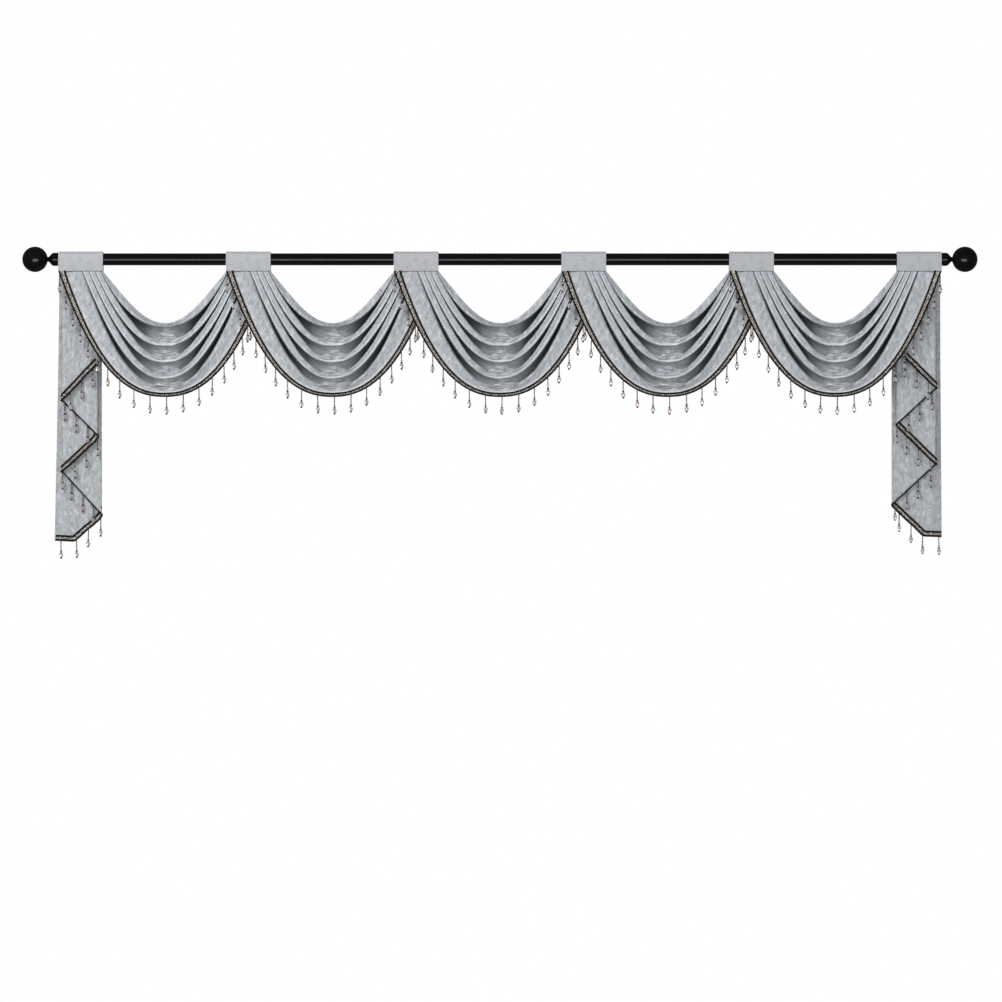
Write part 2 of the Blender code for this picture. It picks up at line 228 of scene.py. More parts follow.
# ---------------------------------------------------------------- sizes of braid and drops
# Width of a swag's braid as it shows, from the swag's middle (spread 0) to the tab (spread 1).
BRAID_SPREADS = (0.0, 0.2, 0.4, 0.6, 0.8, 1.0)
BRAID_WIDTHS = (0.0122, 0.0127, 0.0138, 0.0153, 0.0173, 0.0195)
TAIL_BRAID_WIDTH = 0.0178
CORD_RADIUS = 0.0023
TAIL_CORD_RADIUS = 0.0027
TAPE_THICKNESS = 0.0010
TAPE_GAP = 0.0002
TAPE_SIDES = (-0.42, -0.14, 0.14, 0.42)
PLAIT_FORWARD = 0.0009
PLAIT_LIFT = 0.0009
PLAIT_STEPS = 13.0
CORD_STEP = 0.004
CLOTH_UNDER_BRAID = 0.80
DROP_SPACING = 0.0478
DROP_SHIFT = 0.0060
DROPS_EACH_SIDE = 10
DROP_STRETCH = 0.030
DROP_LENGTH = 0.0500
DROP_FORWARD = 0.0018
DROP_RISE = 0.0006
THREAD_RADIUS = 0.00045
SMOKE_GLASS = (0.26, 0.245, 0.24)

# What is threaded on a drop: how far below the root its middle lies, and its half height.
Bead = namedtuple("Bead", "kind below half_height radius")
THREADED = (
    Bead("seed", 0.0030, 0.0020, 0.0023),
    Bead("bugle", 0.0092, 0.0041, 0.0018),
    Bead("seed", 0.0150, 0.0016, 0.0021),
    Bead("bugle", 0.0197, 0.0030, 0.0018),
    Bead("disc", 0.0243, 0.0013, 0.0048),
    Bead("seed", 0.0273, 0.0016, 0.0020),
    Bead("cap", 0.0308, 0.0030, 0.0034),
    Bead("crystal", 0.0398, 0.0080, 0.0060),
    Bead("cap", 0.0482, 0.0028, 0.0032),
)

# ---------------------------------------------------------------- light
# How strong the white surround is, and how much of it shows through the glass beads.
AMBIENT = 0.08
SEEN_THROUGH_GLASS = 0.70

WHITE = (1.0, 1.0, 1.0)
COOL = (0.97, 0.985, 1.0)
Softbox = namedtuple("Softbox", "name place aim size power colour mirrored")
SOFTBOXES = (
    Softbox("key", (-4.2, -4.6, 4.4), (0.0, 0.0, -0.25), (2.2, 2.2), 510.0,
            (1.0, 0.99, 0.98), False),
    Softbox("right side", (5.5, -4.5, 0.6), (0.0, 0.0, -0.3), (2.6, 2.6), 205.0, COOL, False),
    Softbox("left side", (-5.5, -4.5, -0.2), (0.0, 0.0, -0.3), (2.6, 2.6), 130.0, COOL, False),
    Softbox("front", (-0.3, -7.0, -1.3), (-0.2, 0.0, -0.4), (6.4, 2.6), 262.0, WHITE, True),
    Softbox("back", (1.5, 6.0, 1.6), (0.0, 0.0, -0.3), (3.0, 2.0), 170.0, WHITE, False),
)

UP = np.array((0.0, 0.0, 1.0))
TO_ROOM = np.array((0.0, -1.0, 0.0))


# ---------------------------------------------------------------- settings
class DrapeSettings(bpy.types.PropertyGroup):
    """Sizes and colours that a maker would choose."""
    velvet_colour: bpy.props.FloatVectorProperty(
        name="Velvet", description="Colour of the velvet's pile where it lies flat",
        subtype="COLOR", size=3, min=0.0, max=1.0, default=(0.352, 0.370, 0.388))
    velvet_shade: bpy.props.FloatVectorProperty(
        name="Velvet shade", description="Colour of the pile where it is crushed the other way",
        subtype="COLOR", size=3, min=0.0, max=1.0, default=(0.228, 0.241, 0.256))
    plait_colour: bpy.props.FloatVectorProperty(
        name="Plait", description="Colour of the plaited rayon in the braid",
        subtype="COLOR", size=3, min=0.0, max=1.0, default=(0.46, 0.44, 0.40))
    cord_colour: bpy.props.FloatVectorProperty(
        name="Edge cord", description="Colour of the cords and tape of the braid",
        subtype="COLOR", size=3, min=0.0, max=1.0, default=(0.003, 0.003, 0.003))
    clear_glass: bpy.props.FloatVectorProperty(
        name="Clear glass", description="Tint of the clear beads",
        subtype="COLOR", size=3, min=0.0, max=1.0, default=(0.645, 0.62, 0.625))
    rose_glass: bpy.props.FloatVectorProperty(
        name="Rose glass", description="Tint of the rose beads",
        subtype="COLOR", size=3, min=0.0, max=1.0, default=(0.67, 0.575, 0.565))
    pole_colour: bpy.props.FloatVectorProperty(
        name="Pole paint", description="Colour of the painted pole and finials",
        subtype="COLOR", size=3, min=0.0, max=1.0, default=(0.0025, 0.0025, 0.0028))
    swag_thickness: bpy.props.FloatProperty(
        name="Swag cloth", description="Thickness of the swags' velvet",
        unit="LENGTH", default=0.002, min=0.0005, max=0.004)
    tail_thickness: bpy.props.FloatProperty(
        name="Tail cloth", description="Thickness of the tails' velvet",
        unit="LENGTH", default=0.0015, min=0.0005, max=0.003)
    plait_pitch: bpy.props.FloatProperty(
        name="Plait pitch", description="Length in which a strand of the plait returns to its side",
        unit="LENGTH", default=0.0187, min=0.010, max=0.060)
    stitch_length: bpy.props.FloatProperty(
        name="Stitch length", description="Length of a stitch on the tabs",
        unit="LENGTH", default=0.0032, min=0.001, max=0.010)
    wrinkle_height: bpy.props.FloatProperty(
        name="Wrinkle height", description="Height of the fine wrinkles in the velvet",
        unit="LENGTH", default=0.0010, min=0.0, max=0.003)


def settings():
    """The drape's sizes and colours in this scene."""
    return bpy.context.scene.drape_settings


# ---------------------------------------------------------------- numbers and curves
def mix(first, second, share):
    """The value a share of the way from the first to the second."""
    return first + (second - first) * share


def tab_middle(index):
    """Where along the pole a tab's middle lies."""
    return (index - (TAB_COUNT - 1) / 2) * TAB_PITCH


def smooth_read(places, values, at):
    """Read a table between its rows along a curve that stays within them."""
    places = np.asarray(places, float)
    values = np.asarray(values, float)
    step = np.diff(places)
    slope = np.diff(values) / step
    product = slope[:-1] * slope[1:]
    total = np.where(product > 0, slope[:-1] + slope[1:], 1.0)
    inner = np.where(product > 0, 2 * product / total, 0.0)
    tangent = np.concatenate([[0.0], inner, [slope[-1]]])
    row = np.clip(np.searchsorted(places, at) - 1, 0, len(step) - 1)
    share = (at - places[row]) / step[row]
    cube, square = share ** 3, share ** 2
    return (values[row] * (2 * cube - 3 * square + 1)
            + values[row + 1] * (3 * square - 2 * cube)
            + tangent[row] * step[row] * (cube - 2 * square + share)
            + tangent[row + 1] * step[row] * (cube - square))


def smooth_step(share):
    """Ease a share from 0 to 1, level at both ends."""
    share = np.clip(share, 0.0, 1.0)
    return share * share * (3 - 2 * share)


def lengths_along(points):
    """Distance of each point along a polyline."""
    return np.concatenate([[0.0], np.cumsum(np.linalg.norm(np.diff(points, axis=0), axis=1))])


def read_along(values, lengths, distances):
    """Values at the points of a polyline, read at distances along it."""
    return np.stack([np.interp(distances, lengths, column) for column in values.T], axis=1)


def unit(vectors):
    """The vectors, each made one long."""
    return vectors / np.maximum(np.linalg.norm(vectors, axis=-1, keepdims=True), 1e-9)


def wrinkle(along, down, seed):
    """Fine wrinkles that run along the cloth, from -1 to 1."""
    shape = along.shape
    heights = [
        noise.noise(Vector((a * 14, d * 70, seed)))
        + 0.5 * noise.noise(Vector((a * 45, d * 160, seed + 7)))
        for a, d in zip(along.ravel(), down.ravel())
    ]
    return np.array(heights).reshape(shape)


# ---------------------------------------------------------------- meshes
def new_object(name, mesh):
    """Put a mesh into the scene as an object."""
    obj = bpy.data.objects.new(name, mesh)
    bpy.context.scene.collection.objects.link(obj)
    return obj


def make_plain(obj):
    """Replace the object's mesh with what its modifiers make of it."""
    bpy.context.view_layer.update()
    graph = bpy.context.evaluated_depsgraph_get()
    made = bpy.data.meshes.new_from_object(
        obj.evaluated_get(graph), preserve_all_data_layers=True, depsgraph=graph)
    made.name = obj.name
    worn = obj.data
    obj.modifiers.clear()
    obj.data = made
    bpy.data.meshes.remove(worn)
    return obj


def sheet_object(name, points, painted_shading=None, crush_and_shade=None, down=None):
    """A grid of points as a mesh with its own UV map in metres.

    Its attributes hold the painted shading, from -1 a painted highlight to 1 full painted shade
    in a trough, and how crushed it is; the crushed zone carries painted shade as well.
    """
    rows, columns = points.shape[:2]
    index = np.arange(rows * columns).reshape(rows, columns)
    faces = np.stack([index[:-1, :-1], index[1:, :-1], index[1:, 1:], index[:-1, 1:]], axis=-1)
    mesh = bpy.data.meshes.new(name)
    mesh.from_pydata(points.reshape(-1, 3).tolist(), [], faces.reshape(-1, 4).tolist())
    along, measured = cloth_measure(points)
    down = measured if down is None else down
    corners = np.zeros(len(mesh.loops), int)
    mesh.loops.foreach_get("vertex_index", corners)
    uv = np.stack([along.ravel(), down.ravel()], axis=1)[corners]
    mesh.uv_layers.new(name="cloth").data.foreach_set("uv", uv.astype(np.float32).ravel())
    plain = np.zeros((rows, columns))
    # The painted shading, and the crushing with its painted shade; zero where not given.
    keep_attributes(mesh, {"painted_shading": plain if painted_shading is None else painted_shading,
                           "crush_and_shade": plain if crush_and_shade is None else crush_and_shade})
    mesh.shade_smooth()
    return new_object(name, mesh)


def cloth_measure(points):
    """Length along the cloth from its middle, and down it, at each point of its grid."""
    along = np.linalg.norm(np.diff(points, axis=0), axis=2)
    down = np.linalg.norm(np.diff(points, axis=1), axis=2)
    along = np.concatenate([np.zeros((1, points.shape[1])), np.cumsum(along, axis=0)], axis=0)
    down = np.concatenate([np.zeros((points.shape[0], 1)), np.cumsum(down, axis=1)], axis=1)
    return along - along[len(along) // 2], down


def thicken(obj, thickness, round_edge=0.0):
    """Give a sheet its thickness, half on each side, and round its edge if asked."""
    solidify = obj.modifiers.new("thickness", "SOLIDIFY")
    solidify.thickness = thickness
    solidify.offset = 0.0
    if round_edge:
        bevel = obj.modifiers.new("rounded edge", "BEVEL")
        bevel.width = round_edge
        bevel.segments = 2
        bevel.limit_method = "ANGLE"
        bevel.angle_limit = math.radians(50)
    make_plain(obj)
    obj.data.shade_smooth()
    return obj


def clear_behind(obj):
    """Let the painted shade and painted highlight show on the cloth's face only, not on its back.
    """
    mesh = obj.data
    normals = np.zeros(len(mesh.vertices) * 3, np.float32)
    mesh.vertex_normals.foreach_get("vector", normals)
    painted_shading = mesh.attributes["painted_shading"].data
    values = np.zeros(len(mesh.vertices), np.float32)
    painted_shading.foreach_get("value", values)
    painted_shading.foreach_set("value", np.where(normals[1::3] > 0.3, 0.0, values).astype(np.float32))


def points_object(name, points, attributes):
    """Loose points with attributes, for a tree to build on."""
    mesh = bpy.data.meshes.new(name)
    mesh.from_pydata(points.tolist(), [], [])
    keep_attributes(mesh, attributes)
    return new_object(name, mesh)


def keep_attributes(mesh, attributes):
    """Keep a number or a vector on each vertex."""
    for key, values in attributes.items():
        values = np.asarray(values, np.float32)
        vector = values.size == 3 * len(mesh.vertices)
        kind, field = ("FLOAT_VECTOR", "vector") if vector else ("FLOAT", "value")
        mesh.attributes.new(key, kind, "POINT").data.foreach_set(field, values.ravel())


def set_only_material(obj, material):
    """Give the piece this material and no other."""
    obj.data.materials.clear()
    obj.data.materials.append(material)


# ---------------------------------------------------------------- node helpers
def feed(tree, node, inputs):
    """Link a node's inputs to sockets, or set them to plain values."""
    for key, value in inputs.items():
        if isinstance(value, bpy.types.NodeSocket):
            tree.links.new(value, node.inputs[key])
        else:
            node.inputs[key].default_value = value


def add(tree, kind, inputs=None, **values):
    """Add a node with its properties and inputs."""
    node = tree.nodes.new(kind)
    for key, value in values.items():
        setattr(node, key, value)
    feed(tree, node, inputs or {})
    return node


def math_node(tree, operation, first, second=0.0):
    """A sum on one or two numbers."""
    return add(tree, "ShaderNodeMath", {0: first, 1: second}, operation=operation).outputs[0]


def new_material(name):
    """A material with its tree and shader, or with neither where it has been made before."""
    material = bpy.data.materials.get(name)
    if material:
        return material, None, None
    material = bpy.data.materials.new(name)
    material.use_nodes = True
    tree = material.node_tree
    return material, tree, tree.nodes["Principled BSDF"]


def own_space(tree):
    """Places in the piece's own space, in metres."""
    return add(tree, "ShaderNodeTexCoord").outputs["Object"]


def marked(tree, name):
    """A number that the mesh holds on each vertex."""
    return add(tree, "ShaderNodeAttribute", attribute_name=name).outputs["Fac"]


def colour_ramp(tree, source, stops):
    """Colours read off a ramp of (place, colour) stops."""
    ramp = add(tree, "ShaderNodeValToRGB", {"Fac": source})
    elements = ramp.color_ramp.elements
    while len(elements) < len(stops):
        elements.new(0.5)
    for element, (place, colour) in zip(elements, stops):
        element.position = place
        element.color = (*colour, 1.0)
    return ramp.outputs["Color"]


def blend(tree, share, first, second, kind="MIX"):
    """Mix two colours."""
    return add(tree, "ShaderNodeMix", {"Factor": share, 6: first, 7: second},
               data_type="RGBA", blend_type=kind).outputs[2]


def ranged(tree, value, **ends):
    """Carry a number from one range to another, with its ends named as the node names them."""
    inputs = {key.replace("_", " ").title(): end for key, end in ends.items()}
    return add(tree, "ShaderNodeMapRange", {"Value": value, **inputs}).outputs["Result"]


def raised(tree, height, strength, distance, **under):
    """Bump a surface by a height, over another bump where one is given as Normal."""
    return add(tree, "ShaderNodeBump", {
        "Strength": strength, "Distance": distance, "Height": height, **under}).outputs["Normal"]


def noise_at(tree, vector, scale, detail=3.0, roughness=0.55, distortion=0.0):
    """Soft noise, from 0 to 1."""
    return add(tree, "ShaderNodeTexNoise", {
        "Vector": vector, "Scale": scale, "Detail": detail, "Roughness": roughness,
        "Distortion": distortion}).outputs["Fac"]


def stretched(tree, vector, scale):
    """Places scaled along each axis."""
    return add(tree, "ShaderNodeMapping", {"Vector": vector, "Scale": scale}).outputs["Vector"]


# ---------------------------------------------------------------- materials
def velvet_material(name, tone=(1.0, 1.0, 1.0), patch=(60.0, 60.0, 1.0), reach=0.125):
    """Crushed velvet: pile that lies in patches and streaks, with painted highlights and painted
    shade.
    """
    material, tree, shader = new_material(name)
    if tree is None:
        return material
    chosen = settings()
    cloth = add(tree, "ShaderNodeUVMap", uv_map="cloth").outputs["UV"]
    solid = own_space(tree)
    # How crushed the velvet is, which carries painted shade, and the painted shading of troughs and
    # faces.
    crush_and_shade = marked(tree, "crush_and_shade")
    painted_shading = marked(tree, "painted_shading")

    patches = noise_at(tree, stretched(tree, cloth, patch), 1.0, 5.0, 0.66, 0.35)
    streaks = noise_at(tree, stretched(tree, cloth, (28.0, 240.0, 1.0)), 1.0, 4.0, 0.62, 0.4)
    drift = noise_at(tree, solid, 26.0, 2.0)
    speckle = noise_at(tree, solid, 420.0, 2.0, 0.7)
    pile = noise_at(tree, solid, 1100.0, 2.0, 0.7)
    laid = add(tree, "ShaderNodeMix", {"Factor": 0.34, 2: patches, 3: speckle}).outputs[0]
    nap = ranged(tree, laid, from_min=0.5 - reach, from_max=0.5 + reach)

    shade = [value * part for value, part in zip(chosen.velvet_shade, tone)]
    light = [value * part for value, part in zip(chosen.velvet_colour, tone)]
    flat = colour_ramp(tree, nap, [
        (0.0, shade), (0.42, [mix(dark, pale, 0.72) for dark, pale in zip(shade, light)]),
        (0.70, light), (1.0, [min(1.0, value * 1.36) for value in light])])
    tint = colour_ramp(tree, drift, [
        (0.34, (1.00, 0.98, 1.015)), (0.50, (1.0, 1.0, 1.0)), (0.66, (0.975, 1.005, 0.99))])
    tinted = blend(tree, 1.0, flat, tint, "MULTIPLY")
    # Crushed streaks, darker on the whole as painted shade over the swag's middle, with brighter
    # streaks.
    streaks_and_painted_shade = colour_ramp(tree, streaks, [
        (0.34, (0.36, 0.37, 0.38)), (0.50, (0.74, 0.74, 0.74)), (0.68, (1.45, 1.45, 1.43))])
    crushed = blend(tree, crush_and_shade, tinted, blend(tree, 1.0, tinted, streaks_and_painted_shade, "MULTIPLY"))
    # Painted highlight: below zero, the painted shading pulls the colour towards a brighter velvet.
    painted_highlight = blend(tree, math_node(tree, "MULTIPLY", painted_shading, -1.0), crushed,
                    (*[min(1.0, value * 1.75) for value in light], 1.0))
    # Painted shade: above zero, it pulls the colour towards near black in the troughs.
    depth = ranged(tree, painted_shading, from_max=1.0)
    painted_trough_shade = colour_ramp(tree, depth, [
        (0.0, (0.258, 0.273, 0.290)), (0.60, (0.060, 0.067, 0.076)), (1.0, (0.006, 0.007, 0.009))])
    with_painted_shade = blend(tree, math_node(tree, "MULTIPLY", depth, 1.5), painted_highlight, painted_trough_shade)

    lying = raised(tree, nap, 0.45, 0.0010)
    rubbed_up = raised(tree, streaks, math_node(tree, "MULTIPLY", crush_and_shade, 0.7), 0.0025, Normal=lying)
    feed(tree, shader, {
        "Base Color": with_painted_shade,
        "Roughness": ranged(tree, patches, to_min=0.62, to_max=0.88),
        "Specular IOR Level": 0.15,
        "Sheen Weight": 0.18,
        "Sheen Roughness": 0.35,
        "Sheen Tint": (0.93, 0.96, 1.0, 1.0),
        "Normal": raised(tree, pile, 0.30, 0.0004, Normal=rubbed_up)})
    return material


def thread_material():
    """Sewing thread in the velvet's grey."""
    material, tree, shader = new_material("sewing_thread")
    if tree is None:
        return material
    fibres = noise_at(tree, own_space(tree), 2600.0, 2.0)
    feed(tree, shader, {
        "Base Color": colour_ramp(tree, fibres, [
            (0.3, (0.24, 0.26, 0.28)), (0.7, (0.42, 0.44, 0.46))]),
        "Roughness": 0.6,
        "Normal": raised(tree, fibres, 0.5, 0.0001)})
    return material


def cord_material():
    """Black gimp cord and tape: tight turns of thread with a dull gloss."""
    material, tree, shader = new_material("black_cord")
    if tree is None:
        return material
    turns = noise_at(tree, own_space(tree), 1400.0, 2.0)
    black = tuple(settings().cord_colour)
    worn = [value * 2.2 + 0.003 for value in black]
    feed(tree, shader, {
        "Base Color": colour_ramp(tree, turns, [(0.35, black), (0.75, worn)]),
        "Roughness": ranged(tree, turns, to_min=0.60, to_max=0.85),
        "Specular IOR Level": 0.15,
        "Normal": raised(tree, turns, 0.6, 0.0003)})
    return material


def plait_material():
    """Rayon strands of the plait, each a slightly different beige."""
    material, tree, shader = new_material("plaited_rayon")
    if tree is None:
        return material
    solid = own_space(tree)
    beige = tuple(settings().plait_colour)
    colour = colour_ramp(tree, marked(tree, "strand"), [
        (0.0, beige), (0.5, [value * 1.18 for value in beige]),
        (1.0, (beige[0] * 1.02, beige[1] * 0.88, beige[2] * 0.86))])
    fibres = noise_at(tree, solid, 1100.0, 3.0)
    flecks = noise_at(tree, solid, 260.0, 2.0, 0.6)
    shading = colour_ramp(tree, flecks, [(0.42, (0.16, 0.155, 0.15)), (0.60, (1.0, 1.0, 1.0))])
    feed(tree, shader, {
        "Base Color": blend(tree, 1.0, colour, shading, "MULTIPLY"),
        "Roughness": 0.42,
        "Sheen Weight": 0.25,
        "Normal": raised(tree, fibres, 0.5, 0.0002)})
    return material


def glass_material(name, tint):
    """Moulded glass with a faint cloud in its tint."""
    material, tree, shader = new_material(name)
    if tree is None:
        return material
    cloud = noise_at(tree, own_space(tree), 220.0, 2.0)
    feed(tree, shader, {
        "Base Color": colour_ramp(tree, cloud, [
            (0.3, [value * 0.86 for value in tint]), (0.7, tint)]),
        "Roughness": 0.06,
        "IOR": 1.52,
        "Transmission Weight": 0.65,
        "Normal": raised(tree, cloud, 0.15, 0.0002)})
    return material


def cap_material():
    """Gunmetal bead caps and seed beads."""
    material, tree, shader = new_material("gunmetal_bead")
    if tree is None:
        return material
    tarnish = noise_at(tree, own_space(tree), 600.0, 2.0)
    feed(tree, shader, {
        "Base Color": colour_ramp(tree, tarnish, [
            (0.35, (0.05, 0.042, 0.04)), (0.7, (0.16, 0.14, 0.135))]),
        "Metallic": 0.75,
        "Roughness": ranged(tree, tarnish, to_min=0.22, to_max=0.45)})
    return material


def pole_material():
    """Stoved gloss paint with the faintest orange peel."""
    material, tree, shader = new_material("gloss_black_paint")
    if tree is None:
        return material
    solid = own_space(tree)
    peel = noise_at(tree, solid, 260.0, 2.0)
    dust = noise_at(tree, stretched(tree, solid, (6.0, 60.0, 60.0)), 1.0, 4.0)
    paint = tuple(settings().pole_colour)
    feed(tree, shader, {
        "Base Color": colour_ramp(tree, dust, [
            (0.45, paint), (0.85, [value * 1.8 for value in paint])]),
        "Roughness": ranged(tree, dust, to_min=0.17, to_max=0.21),
        "Specular IOR Level": 0.32,
        "Normal": raised(tree, peel, 0.10, 0.0002)})
    return material


def floor_material():
    """Pale matt floor."""
    material, tree, shader = new_material("pale_floor")
    if tree is None:
        return material
    grain = noise_at(tree, own_space(tree), 40.0, 4.0)
    feed(tree, shader, {
        "Base Color": colour_ramp(tree, grain, [
            (0.3, (0.86, 0.86, 0.85)), (0.7, (0.90, 0.90, 0.89))]),
        "Roughness": 0.7})
    return material


# ---------------------------------------------------------------- geometry nodes
def new_tree(name, inputs):
    """A geometry tree with a geometry in and out, and the named inputs."""
    tree = bpy.data.node_groups.new(name, "GeometryNodeTree")
    tree.is_modifier = True
    tree.interface.new_socket("Geometry", in_out="INPUT", socket_type="NodeSocketGeometry")
    for label, kind in inputs.items():
        tree.interface.new_socket(label, in_out="INPUT", socket_type="NodeSocket" + kind)
    tree.interface.new_socket("Geometry", in_out="OUTPUT", socket_type="NodeSocketGeometry")
    return tree, tree.nodes.new("NodeGroupInput").outputs, tree.nodes.new("NodeGroupOutput").inputs


def run_tree(obj, tree, values):
    """Put the tree on the object, set its inputs, and keep the plain mesh that it makes."""
    modifier = obj.modifiers.new(tree.name, "NODES")
    modifier.node_group = tree
    sockets = {item.name: item.identifier for item in tree.interface.items_tree
               if item.in_out == "INPUT"}
    for label, value in values.items():
        modifier[sockets[label]] = value
    return make_plain(obj)


def named(tree, name, kind="FLOAT"):
    """Read what the mesh holds on its points under a name."""
    return add(tree, "GeometryNodeInputNamedAttribute", {"Name": name},
               data_type=kind).outputs["Attribute"]


def scaled(tree, vector, factor):
    """A vector times a number."""
    return add(tree, "ShaderNodeVectorMath", {"Vector": vector, "Scale": factor},
               operation="SCALE").outputs["Vector"]


def summed(tree, first, second):
    """The sum of two vectors."""
    return add(tree, "ShaderNodeVectorMath", {0: first, 1: second},
               operation="ADD").outputs["Vector"]


def joined(tree, parts):
    """Several parts as one geometry."""
    join = add(tree, "GeometryNodeJoinGeometry")
    for part in parts:
        tree.links.new(part, join.inputs["Geometry"])
    return join.outputs["Geometry"]


def with_material(tree, geometry, material):
    """Give a geometry its material."""
    return add(tree, "GeometryNodeSetMaterial", {
        "Geometry": geometry, "Material": material}).outputs["Geometry"]


def smoothed(tree, geometry, smooth=True):
    """Shade a geometry smooth or flat."""
    return add(tree, "GeometryNodeSetShadeSmooth", {
        "Geometry": geometry, "Shade Smooth": smooth}).outputs["Geometry"]


def rod_along(tree, curve, offset, radius, sides, strand, scale=1.0):
    """A round strand that follows the curve at an offset, and remembers which strand it is."""
    moved = add(tree, "GeometryNodeSetPosition", {"Geometry": curve, "Offset": offset})
    ring = add(tree, "GeometryNodeCurvePrimitiveCircle", {"Resolution": sides, "Radius": radius})
    tube = add(tree, "GeometryNodeCurveToMesh", {
        "Curve": moved.outputs["Geometry"], "Profile Curve": ring.outputs["Curve"],
        "Scale": scale, "Fill Caps": True})
    return add(tree, "GeometryNodeStoreNamedAttribute", {
        "Geometry": tube.outputs["Mesh"], "Name": "strand", "Value": strand},
        data_type="FLOAT", domain="POINT").outputs["Geometry"]


def finish_tree(tree, parts, outputs):
    """Join the parts, which have their materials, and realize their instances."""
    real = add(tree, "GeometryNodeRealizeInstances", {"Geometry": joined(tree, reversed(parts))})
    tree.links.new(real.outputs["Geometry"], outputs["Geometry"])


def braid_tree():
    """Three strands that cross over and under along a path, between two edge cords."""
    found = bpy.data.node_groups.get("plaited braid")
    if found:
        return found
    tree, given, made = new_tree("plaited braid", {
        "Pitch": "Float", "Swing Share": "Float", "Strand Share": "Float", "Lift": "Float",
        "Cord Radius": "Float", "Plait Material": "Material", "Cord Material": "Material"})
    on_path = math_node(tree, "GREATER_THAN", named(tree, "path"), 0.5)
    split = add(tree, "GeometryNodeSeparateGeometry", {
        "Geometry": given["Geometry"], "Selection": on_path}, domain="POINT")
    curve = add(tree, "GeometryNodeMeshToCurve", {
        "Mesh": split.outputs["Selection"]}).outputs["Curve"]
    across = named(tree, "across", "FLOAT_VECTOR")
    facing = named(tree, "facing", "FLOAT_VECTOR")
    plait_half = named(tree, "plait_half")
    cord_reach = math_node(tree, "ADD", plait_half, given["Cord Radius"])
    swing = math_node(tree, "MULTIPLY", plait_half, given["Swing Share"])
    length = add(tree, "GeometryNodeSplineParameter").outputs["Length"]

    step = math_node(tree, "DIVIDE", given["Pitch"], PLAIT_STEPS)
    fine = add(tree, "GeometryNodeResampleCurve", {"Curve": curve, "Length": step}, mode="LENGTH")
    strands = []
    for number in range(3):
        turn = math_node(tree, "ADD", math_node(
            tree, "MULTIPLY", math_node(tree, "DIVIDE", length, given["Pitch"]), 2 * math.pi),
            2 * math.pi * number / 3)
        aside = math_node(tree, "MULTIPLY", math_node(tree, "SINE", turn), swing)
        over = math_node(tree, "MULTIPLY", math_node(
            tree, "SINE", math_node(tree, "MULTIPLY", turn, 2.0)), given["Lift"])
        offset = summed(tree, scaled(tree, across, aside), scaled(tree, facing, over))
        strands.append(rod_along(tree, fine.outputs["Curve"], offset, given["Strand Share"], 6,
                                 number / 2, plait_half))
    parts = [with_material(tree, smoothed(tree, joined(tree, strands)), given["Plait Material"])]

    coarse = add(tree, "GeometryNodeResampleCurve", {"Curve": curve, "Length": CORD_STEP},
                 mode="LENGTH")
    for side in (-1.0, 1.0):
        offset = scaled(tree, across, math_node(tree, "MULTIPLY", cord_reach, side))
        cord = rod_along(tree, coarse.outputs["Curve"], offset, given["Cord Radius"], 10, 0.0)
        parts.append(with_material(tree, smoothed(tree, cord), given["Cord Material"]))
    parts.append(with_material(tree, split.outputs["Inverted"], given["Cord Material"]))
    finish_tree(tree, parts, made)
    return tree


def lowered(tree, kind, inputs, below, scale=(1.0, 1.0, 1.0)):
    """A primitive placed a distance below the drop's root."""
    down = add(tree, "ShaderNodeCombineXYZ", {"Z": math_node(tree, "MULTIPLY", below, -1.0)})
    shape = add(tree, kind, inputs).outputs["Mesh"]
    return add(tree, "GeometryNodeTransform", {
        "Geometry": shape, "Translation": down.outputs["Vector"],
        "Scale": scale}).outputs["Geometry"]


def threaded_bead(tree, bead):
    """The shape of one bead in its place on the thread."""
    if bead.kind == "bugle":
        bugle = lowered(tree, "GeometryNodeMeshCylinder", {
            "Vertices": 6, "Radius": bead.radius, "Depth": 2 * bead.half_height}, bead.below)
        return smoothed(tree, bugle, False)
    rings, segments = (6, 8) if bead.kind == "crystal" else (4, 6)
    ball = lowered(tree, "GeometryNodeMeshUVSphere", {
        "Segments": segments, "Rings": rings, "Radius": bead.radius}, bead.below,
        (1.0, 1.0, bead.half_height / bead.radius))
    return smoothed(tree, ball, bead.kind != "crystal")


def drops_tree():
    """Threads of glass and metal beads, hung from points; the rose mark picks the tint."""
    found = bpy.data.node_groups.get("bead drops")
    if found:
        return found
    tree, given, made = new_tree("bead drops", {
        "Length": "Float", "Seed": "Int", "Clear Glass": "Material",
        "Rose Glass": "Material", "Smoke Glass": "Material", "Metal": "Material",
        "Thread": "Material"})
    rose = math_node(tree, "GREATER_THAN", named(tree, "rose"), 0.5)
    hung = []
    clear = math_node(tree, "SUBTRACT", 1.0, rose)
    for tint, chosen in (("Rose Glass", rose), ("Clear Glass", clear)):
        finishes = {"bugle": "Smoke Glass", "seed": "Metal", "cap": "Metal",
                    "disc": tint, "crystal": tint}
        parts = [with_material(tree, threaded_bead(tree, bead), given[finishes[bead.kind]])
                 for bead in THREADED]
        thread = lowered(tree, "GeometryNodeMeshCylinder", {
            "Vertices": 4, "Radius": THREAD_RADIUS, "Depth": given["Length"]},
            math_node(tree, "MULTIPLY", given["Length"], 0.5))
        parts.append(with_material(tree, thread, given["Thread"]))
        spin = add(tree, "FunctionNodeRandomValue", {
            "Min": (-0.03, -0.02, 0.0), "Max": (0.03, 0.02, 6.28), "Seed": given["Seed"]},
            data_type="FLOAT_VECTOR")
        placed = add(tree, "GeometryNodeInstanceOnPoints", {
            "Points": given["Geometry"], "Selection": chosen,
            "Instance": joined(tree, parts), "Rotation": spin.outputs[0]})
        hung.append(placed.outputs["Instances"])
    finish_tree(tree, hung, made)
    return tree


